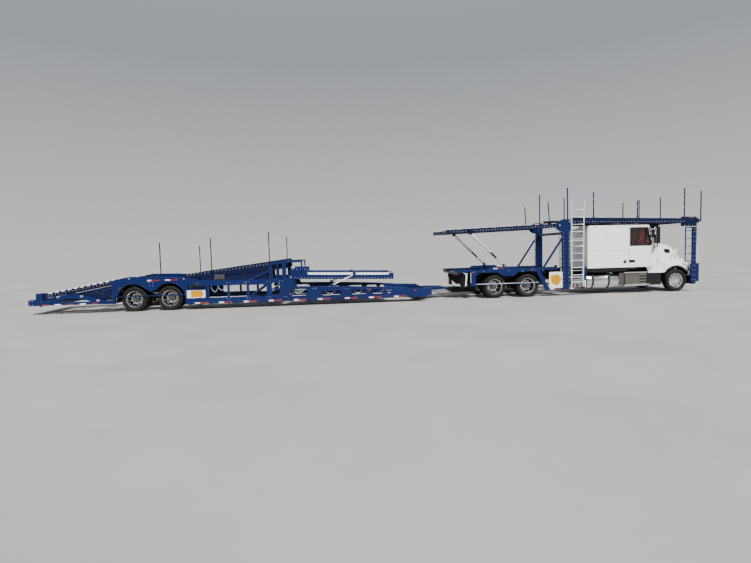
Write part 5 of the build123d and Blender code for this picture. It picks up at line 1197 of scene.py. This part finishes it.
# ---------------------------------------------------------------- trailer
for s, label in SIDES:
    def Y(*v):
        return tuple(s * a for a in v)

    def low_edge(x):
        return 0.200 + (0.170 - 0.200) * (x + 19.030) / (-10.460 + 19.030)
    w = Mesh()
    for x in (-18.711, -17.862, -16.967, -16.066, -15.154, -14.271, -13.269, -12.368, -11.422):
        z = low_edge(x) + 0.012
        w.box((x, x + 0.175), Y(1.2898, 1.2908), (z, z + 0.055), 1)
        w.box((x + 0.175, x + 0.470), Y(1.2898, 1.2908), (z, z + 0.055), 0)
    for x0, x1, m in ((-20.337, -20.199, 1), (-20.199, -19.887, 0), (-19.714, -19.540, 1), (-19.540, -19.261, 0)):
        w.box((x0, x1), Y(1.2898, 1.2908), (1.085, 1.130), m)
    for k in range(5):
        x = -23.95 + 0.42 * k
        w.box((x, x + 0.21), Y(1.2898, 1.2908), (0.330, 0.375) if x < -22.2 else (0.322, 0.367), k % 2)
    piece(f"trailer_markings_{label}", w, [M["mark_red"], M["mark_white"]], "trailer")
    w = Mesh()
    for x, z, m in ((-18.6, 0.96, 2), (-14.35, 0.64, 3), (-10.60, 0.42, 3), (-21.30, 0.86, 2), (-16.9, 0.93, 3), (-12.35, 0.50, 3)):
        w.box((x - 0.048, x + 0.048), Y(1.2895, 1.2940), (z - 0.022, z + 0.022), 1, 0.001).box((x - 0.038, x + 0.038), Y(1.293, 1.306), (z - 0.015, z + 0.015), m, 0.005)
    for x, z, r in ((-15.230, 1.066, 0.038), (-19.060, 1.130, 0.038), (-20.960, 1.195, 0.036)):
        w.lathe([(0.001, 1.2865), (r * 0.55, 1.2865), (r * 0.60, 1.2935), (r * 0.5, 1.2955), (0.001, 1.2955)], (x, 0, z), 24, 0, s)
        w.lathe([(r + 0.004, 1.2895), (r + 0.024, 1.2895), (r + 0.022, 1.2940), (r + 0.006, 1.2940)], (x, 0, z), 32, 4, s)
    for x, z in ((-17.50, 0.36), (-16.80, 0.36), (-16.05, 0.36), (-15.45, 0.36), (-14.40, 0.62), (-13.20, 0.58), (-12.36, 0.54), (-11.76, 0.50), (-17.50, 0.94), (-16.80, 0.94), (-16.05, 0.94), (-15.60, 0.94), (-20.21, 0.92), (-20.21, 1.02)):
        for dx in (-0.05, 0.05):
            w.rod((x + dx, s * 1.2895, z), (x + dx, s * 1.2950, z), 0.010, 0, 6)
    # stiffening ribs on the deep side plates
    for x0, z0, x1, z1 in ((-17.500, 0.40, -17.500, 0.90), (-16.805, 0.40, -16.805, 0.86)):
        w.box((x0 - 0.014, x0 + 0.014), Y(1.2895, 1.2955), (z0, z1), 4, 0.003)
    w.box((-18.86, -10.50), Y(1.2895, 1.2945), (0.262, 0.274), 4, 0.002)
    # bright folded edges along the lower lips of the openings
    for x0, x1, z in ((-15.22, -14.73, 0.378), (-14.08, -13.44, 0.362), (-13.00, -12.50, 0.362), (-12.21, -11.87, 0.357), (-11.66, -11.53, 0.357), (-18.19, -17.55, 0.422), (-17.45, -16.86, 0.422)):
        w.box((x0, x1), Y(1.262, 1.284), (z, z + 0.010), 5, 0.002)
    piece(f"trailer_side_fittings_{label}", w, [M["zinc"], M["trim"], M["lens_red"], M["lens_amber"], M["blue"], M["deck_white"]], "trailer")
    w = Mesh()
    # wheel-arch lips and mud flap
    for cx in (-19.590, -20.835):
        lo, hi = ((8, 140) if cx > -20 else (40, 163))
        pts = [(cx + 0.562 * math.cos(math.radians(a)), AXLE + 0.562 * math.sin(math.radians(a))) for a in range(lo, hi, 6)]
        for (xa, za), (xb, zb) in zip(pts, pts[1:]):
            da, db = Vector((xa - cx, za - AXLE)).normalized(), Vector((xb - cx, zb - AXLE)).normalized()
            w.prism([(xa, za), (xb, zb), (xb + 0.016 * db.x, zb + 0.016 * db.y), (xa + 0.016 * da.x, za + 0.016 * da.y)], Y(1.2895, 1.2960))
    piece(f"trailer_arch_lip_{label}", w, M["blue"], "trailer", weld=0.0005)
    w = Mesh().box((-21.455, -21.445), Y(0.66, 1.21), (0.33, 0.70), 0, 0.002).box((-21.468, -21.440), Y(0.64, 1.214), (0.695, 0.735), 1, 0.003)
    piece(f"trailer_mud_flap_{label}", w, [M["flap_black"], M["zinc"]], "trailer")
    # tail: lamp block, D rings on the tail frame, chain hooks
    w = Mesh()
    for yy in (0.94, 1.03, 1.12):
        w.lathe([(0.001, -24.196), (0.038, -24.196), (0.043, -24.189), (0.001, -24.189)], (0, s * yy, 0.665), 28, 0, 1, "x")
        w.lathe([(0.001, -24.206), (0.018, -24.205), (0.034, -24.200), (0.034, -24.195), (0.001, -24.195)], (0, s * yy, 0.665), 28, 1 if yy < 1.1 else 2, 1, "x")
    w.box((-24.00, -23.96), Y(1.2895, 1.2940), (0.46, 0.50), 0, 0.001).box((-23.998, -23.962), Y(1.2935, 1.303), (0.464, 0.496), 1, 0.004)
    for x, z in ((-23.40, 0.640), (-22.60, 0.640), (-22.05, 0.470)):
        w.pipe([(x + 0.045 * math.cos(a), s * 1.298, z + 0.045 * math.sin(a)) for a in [math.pi * (1.0 + k / 10) for k in range(11)]], 0.007, 3, 8)
        w.box((x - 0.055, x + 0.055), Y(1.2895, 1.306), (z - 0.012, z + 0.014), 3, 0.003)
    for x in (-24.36, -24.26):
        w.rod((x, s * 1.2895, 0.50), (x, s * 1.2960, 0.50), 0.013, 3, 6).rod((x, s * 1.2895, 0.37), (x, s * 1.2960, 0.37), 0.013, 3, 6)
    piece(f"tail_fittings_{label}", w, [M["trim"], M["lens_red"], M["lens_amber"], M["zinc"], M["deck_white"]], "trailer")


def chain(w, a, b, sag, m, link=0.052, wire=0.0055):
    """Chain links along a hanging curve, every other link turned by a quarter."""
    a, b = Vector(a), Vector(b)
    pts = [a.lerp(b, t / 60) + Vector((0, 0, -4 * sag * (t / 60) * (1 - t / 60))) for t in range(61)]
    run, k, pos = 0.0, 0, []
    for p, q in zip(pts, pts[1:]):
        d = (q - p).length
        while run <= d:
            pos.append((p.lerp(q, run / d), (q - p).normalized()))
            run += link * 0.72
        run -= d
    for i, (p, d) in enumerate(pos):
        side = Vector((0, 1, 0)) if i % 2 else d.cross(Vector((0, 1, 0))).normalized()
        ring = []
        for j in range(10):
            t = 2 * math.pi * j / 10
            ring.append(p + d * (math.cos(t) * (link / 2 - wire)) + side * (math.sin(t) * (link * 0.32 - wire)))
        up = d.cross(side).normalized()
        verts, faces = [], []
        for j in range(10):
            out = (ring[j] - p).normalized()
            for n in range(5):
                g = 2 * math.pi * n / 5
                verts.append(ring[j] + (out * math.cos(g) + up * math.sin(g)) * wire)
        for j in range(10):
            for n in range(5):
                faces.append((j * 5 + n, ((j + 1) % 10) * 5 + n, ((j + 1) % 10) * 5 + (n + 1) % 5, j * 5 + (n + 1) % 5))
        w.add(verts, faces, m)
    return w


w = Mesh()
for s in (-1, 1):
    for x0, x1, z, sag in ((-18.14, -17.86, 0.84, 0.22), (-17.90, -17.60, 0.84, 0.16), (-17.42, -17.14, 0.84, 0.20), (-15.20, -14.78, 0.610, 0.14), (-15.05, -14.72, 0.610, 0.09), (-14.00, -13.60, 0.512, 0.10), (-12.95, -12.60, 0.506, 0.10), (-15.92, -15.70, 0.87, 0.13)):
        chain(w, (x0, s * 1.222, z), (x1, s * 1.222, z), sag, 0)
        for x in (x0, x1):
            w.box((x - 0.014, x + 0.014), (s * 1.205, s * 1.252), (z - 0.006, z + 0.014), 1, 0.003)
piece("tie_down_chains", w, [M["zinc"], M["navy"]], "trailer")
w = Mesh().box((-24.150, -24.145), (-0.155, 0.155), (0.560, 0.710), 0, 0.001).box((-24.145, -24.135), (-0.02, 0.02), (0.538, 0.600), 1, 0.001).box((-24.146, -24.140), (-0.165, 0.165), (0.550, 0.720), 1, 0.001)
piece("rear_plate_blank", w, [M["white_panel"], M["trim"]], "trailer")
w = Mesh()
for s in (-1, 1):   # air tanks, brake chambers, rigid brake lines
    for x in (-19.590, -20.835):
        w.lathe([(0.001, -0.10), (0.055, -0.10), (0.074, -0.085), (0.078, -0.01), (0.083, 0.0), (0.078, 0.01), (0.074, 0.085), (0.055, 0.10), (0.001, 0.10)], (x + 0.22, s * 0.42, 0.52), 28, 0, 1, "x")
        w.pipe([(x + 0.22, s * 0.42, 0.60), (x + 0.22, s * 0.40, 0.66), (x + 0.10, s * 0.36, 0.70)], 0.008, 1, 8)
piece("brake_chambers", w, [M["cast"], M["zinc"]], "trailer")
w = Mesh()
for s in (-1, 1):
    for x in (-6.170, -7.490):
        w.lathe([(0.001, -0.10), (0.055, -0.10), (0.074, -0.085), (0.078, -0.01), (0.083, 0.0), (0.078, 0.01), (0.074, 0.085), (0.055, 0.10), (0.001, 0.10)], (x + 0.30, s * 0.62, 0.52), 28, 0, 1, "x")
piece("truck_brake_chambers", w, [M["cast"], M["zinc"]], "truck")
w = Mesh().lathe([(0.001, 0.4262), (0.040, 0.4262), (0.046, 0.4300), (0.046, 0.4440), (0.038, 0.4500), (0.001, 0.4500)], (-8.790, 0, 0), 32, 0, 1, "z")
for k in range(6):
    a = math.pi * k / 3
    w.rod((-8.790 + 0.12 * math.cos(a), 0.12 * math.sin(a), 0.404), (-8.790 + 0.12 * math.cos(a), 0.12 * math.sin(a), 0.420), 0.016, 0, 6)
piece("pivot_fittings", w, M["zinc"], "trailer")

# painted shade: black walls inside the wheels of the trailer and the truck, standing in for the shade in the wheel
# wells
for s, label in SIDES:
    def Y(*v):
        return tuple(s * a for a in v)
    w = Mesh().box((-21.43, -19.02), Y(0.6405, 0.6455), (0.700, 0.985), 0, 0.001)
    for x in (-21.36, -20.60, -19.82, -19.08):
        w.box((x - 0.02, x + 0.02), Y(0.472, 0.6415), (0.955, 0.983), 0, 0.002)
    piece(f"trailer_wheel_well_shade_{label}", w, M["black"], "trailer")
    w = Mesh().box((-8.08, -5.62), Y(0.6405, 0.6455), (0.700, 0.948), 0, 0.001)
    for x in (-8.00, -6.83, -5.72):
        w.box((x - 0.02, x + 0.02), Y(0.432, 0.6415), (0.800, 0.828), 0, 0.002)
    piece(f"truck_wheel_well_shade_{label}", w, M["black"], "truck")
w = Mesh().box((-18.00, -17.62), (-1.284, -1.212), (1.070, 1.160), 0, 0.006).box((-17.99, -17.95), (-1.284, -1.252), (1.030, 1.080), 0, 0.003).box((-17.67, -17.63), (-1.284, -1.252), (1.030, 1.080), 0, 0.003)
for k in range(6):
    x = -17.96 + 0.062 * k
    w.rod((x, -1.262, 1.155), (x + 0.006, -1.270, 1.265), 0.0055, 1, 8)
    w.dome((x + 0.006, -1.270, 1.262), 0.013, 0.016, 2, 12, 4, "z").dome((x + 0.006, -1.270, 1.262), 0.013, 0.010, 2, 12, 4, "z", -1)
    w.rod((x, -1.213, 1.115), (x, -1.203, 1.115), 0.010, 1, 6)
piece("trailer_valve_bank", w, [M["cast"], M["zinc"], M["trim"]], "trailer")

# dark inner plates beside the back deck, under the tail ramp, between the truck's frame and its coupling: partly
# structure, partly painted shade filling gaps where clutter and shade lie
for s, label in SIDES:
    def Y(*v):
        return tuple(s * a for a in v)
    w = Mesh().prism([(-18.450, 1.010), (-16.060, 0.990), (-16.060, 1.325), (-17.200, 1.215), (-18.450, 1.120)], Y(1.212, 1.219))
    for x, top in ((-18.10, 1.145), (-17.50, 1.190), (-16.90, 1.243), (-16.30, 1.300)):
        w.box((x - 0.012, x + 0.012), Y(1.2185, 1.2220), (1.015, top), 0, 0.001)
    piece(f"trailer_inner_wall_{label}", w, M["navy"], "trailer")
    w = Mesh().prism([(-21.475, 0.440), (-21.475, 0.985), (-22.300, 0.835), (-23.250, 0.665), (-23.250, 0.520), (-22.500, 0.470)], Y(1.186, 1.193))
    w.rod((-21.480, s * 1.1965, 0.52), (-22.250, s * 1.1965, 0.80), 0.005, 0, 8).rod((-21.480, s * 1.1965, 0.90), (-22.900, s * 1.1965, 0.54), 0.005, 0, 8)
    piece(f"tail_inner_wall_{label}", w, M["navy"], "trailer")
    w = Mesh().prism([(-8.248, 0.480), (-8.600, 0.480), (-8.935, 0.800), (-8.935, 0.952), (-8.248, 0.952)], Y(0.352, 0.364))
    w.rod((-8.35, s * 0.363, 0.60), (-8.35, s * 0.370, 0.60), 0.016, 1, 6).rod((-8.35, s * 0.363, 0.88), (-8.35, s * 0.370, 0.88), 0.016, 1, 6).rod((-8.86, s * 0.363, 0.88), (-8.86, s * 0.370, 0.88), 0.016, 1, 6)
    piece(f"coupling_gusset_{label}", w, [M["black"], M["hub"]], "truck")

# bright sleeves on the guard bars that cross the wheels
for s, label in SIDES:
    w = Mesh().lathe([(0.0155, -8.244), (0.0178, -8.240), (0.0178, -5.760), (0.0155, -5.756)], (0, s * 1.270, 0.560), 20, 0, 1, "x")
    piece(f"truck_guard_sleeve_{label}", w, M["guard"], "truck")

# ---------------------------------------------------------------- floor, light, camera
def floor_material():
    w = Nodes("pale_floor")
    n = w.noise(0.35, 6, 0.6)
    w.link(w.mix(w.span(n, 0.3, 0.7), (0.29, 0.29, 0.287), (0.33, 0.33, 0.327)), w.bsdf.inputs["Base Color"])
    w.link(w.span(n, 0.3, 0.7, 0.6, 0.75), w.bsdf.inputs["Roughness"])
    return w.mat


me = bpy.data.meshes.new("floor")
me.from_pydata([(-900, -400, 0), (900, -400, 0), (900, 2500, 0), (-900, 2500, 0)], [], [(0, 1, 2, 3)])
me.materials.append(floor_material())
floor = bpy.data.objects.new("floor", me)
bpy.context.scene.collection.objects.link(floor)
floor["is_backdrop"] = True

world = bpy.data.worlds.new("studio")
bpy.context.scene.world = world
world.use_nodes = True
bg = world.node_tree.nodes["Background"]
tc = world.node_tree.nodes.new("ShaderNodeTexCoord")
sep = world.node_tree.nodes.new("ShaderNodeSeparateXYZ")
ramp = world.node_tree.nodes.new("ShaderNodeValToRGB")
world.node_tree.links.new(tc.outputs["Generated"], sep.inputs[0])
world.node_tree.links.new(sep.outputs[2], ramp.inputs[0])
world.node_tree.links.new(ramp.outputs[0], bg.inputs[0])
ramp.color_ramp.elements[0].position = 0.0
ramp.color_ramp.elements[0].color = (1.0, 1.0, 1.0, 1)
ramp.color_ramp.elements[1].position = 0.9
ramp.color_ramp.elements[1].color = (0.70, 0.72, 0.74, 1)
for place, value in ((0.10, (0.82, 0.84, 0.86, 1)), (0.35, (0.50, 0.53, 0.57, 1))):
    ramp.color_ramp.elements.new(place).color = value
bg.inputs[1].default_value = 0.72
sun = bpy.data.lights.new("key", "SUN")
sun.energy = 7.5
sun.angle = math.radians(9)
sun.color = (1.0, 0.97, 0.92)
ob = bpy.data.objects.new("key", sun)
ob.rotation_euler = Vector((0.20, -0.72, 0.95)).to_track_quat("Z", "Y").to_euler()
bpy.context.scene.collection.objects.link(ob)
area = bpy.data.lights.new("fill", "AREA")
area.shape = "RECTANGLE"
area.size, area.size_y = 30, 10
area.energy = 500
ob = bpy.data.objects.new("fill", area)
ob.location = (0, -24, 12)
ob.rotation_euler = (Vector((0, -24, 12)) - Vector((0, 0, 1))).to_track_quat("Z", "Y").to_euler()
bpy.context.scene.collection.objects.link(ob)

psi, phi, rho = math.radians(5.38), math.radians(3.731), math.radians(1.561)
f = Vector((math.sin(psi) * math.cos(phi), math.cos(psi) * math.cos(phi), -math.sin(phi)))
r0 = Vector((math.cos(psi), -math.sin(psi), 0))
u0 = r0.cross(f)
r = r0 * math.cos(rho) - u0 * math.sin(rho)
u = u0 * math.cos(rho) + r0 * math.sin(rho)
cam = bpy.data.cameras.new("camera")
cam.sensor_fit = "HORIZONTAL"
cam.sensor_width = 36.0
cam.lens = 495.0 / 751.0 * 36.0
cam.clip_start, cam.clip_end = 0.1, 3000
ob = bpy.data.objects.new("camera", cam)
m = Matrix((r, u, -f)).transposed().to_4x4()
m.translation = (-2.1405, -19.728, 2.012)
ob.matrix_world = m
bpy.context.scene.collection.objects.link(ob)
bpy.context.scene.camera = ob

lo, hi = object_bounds()
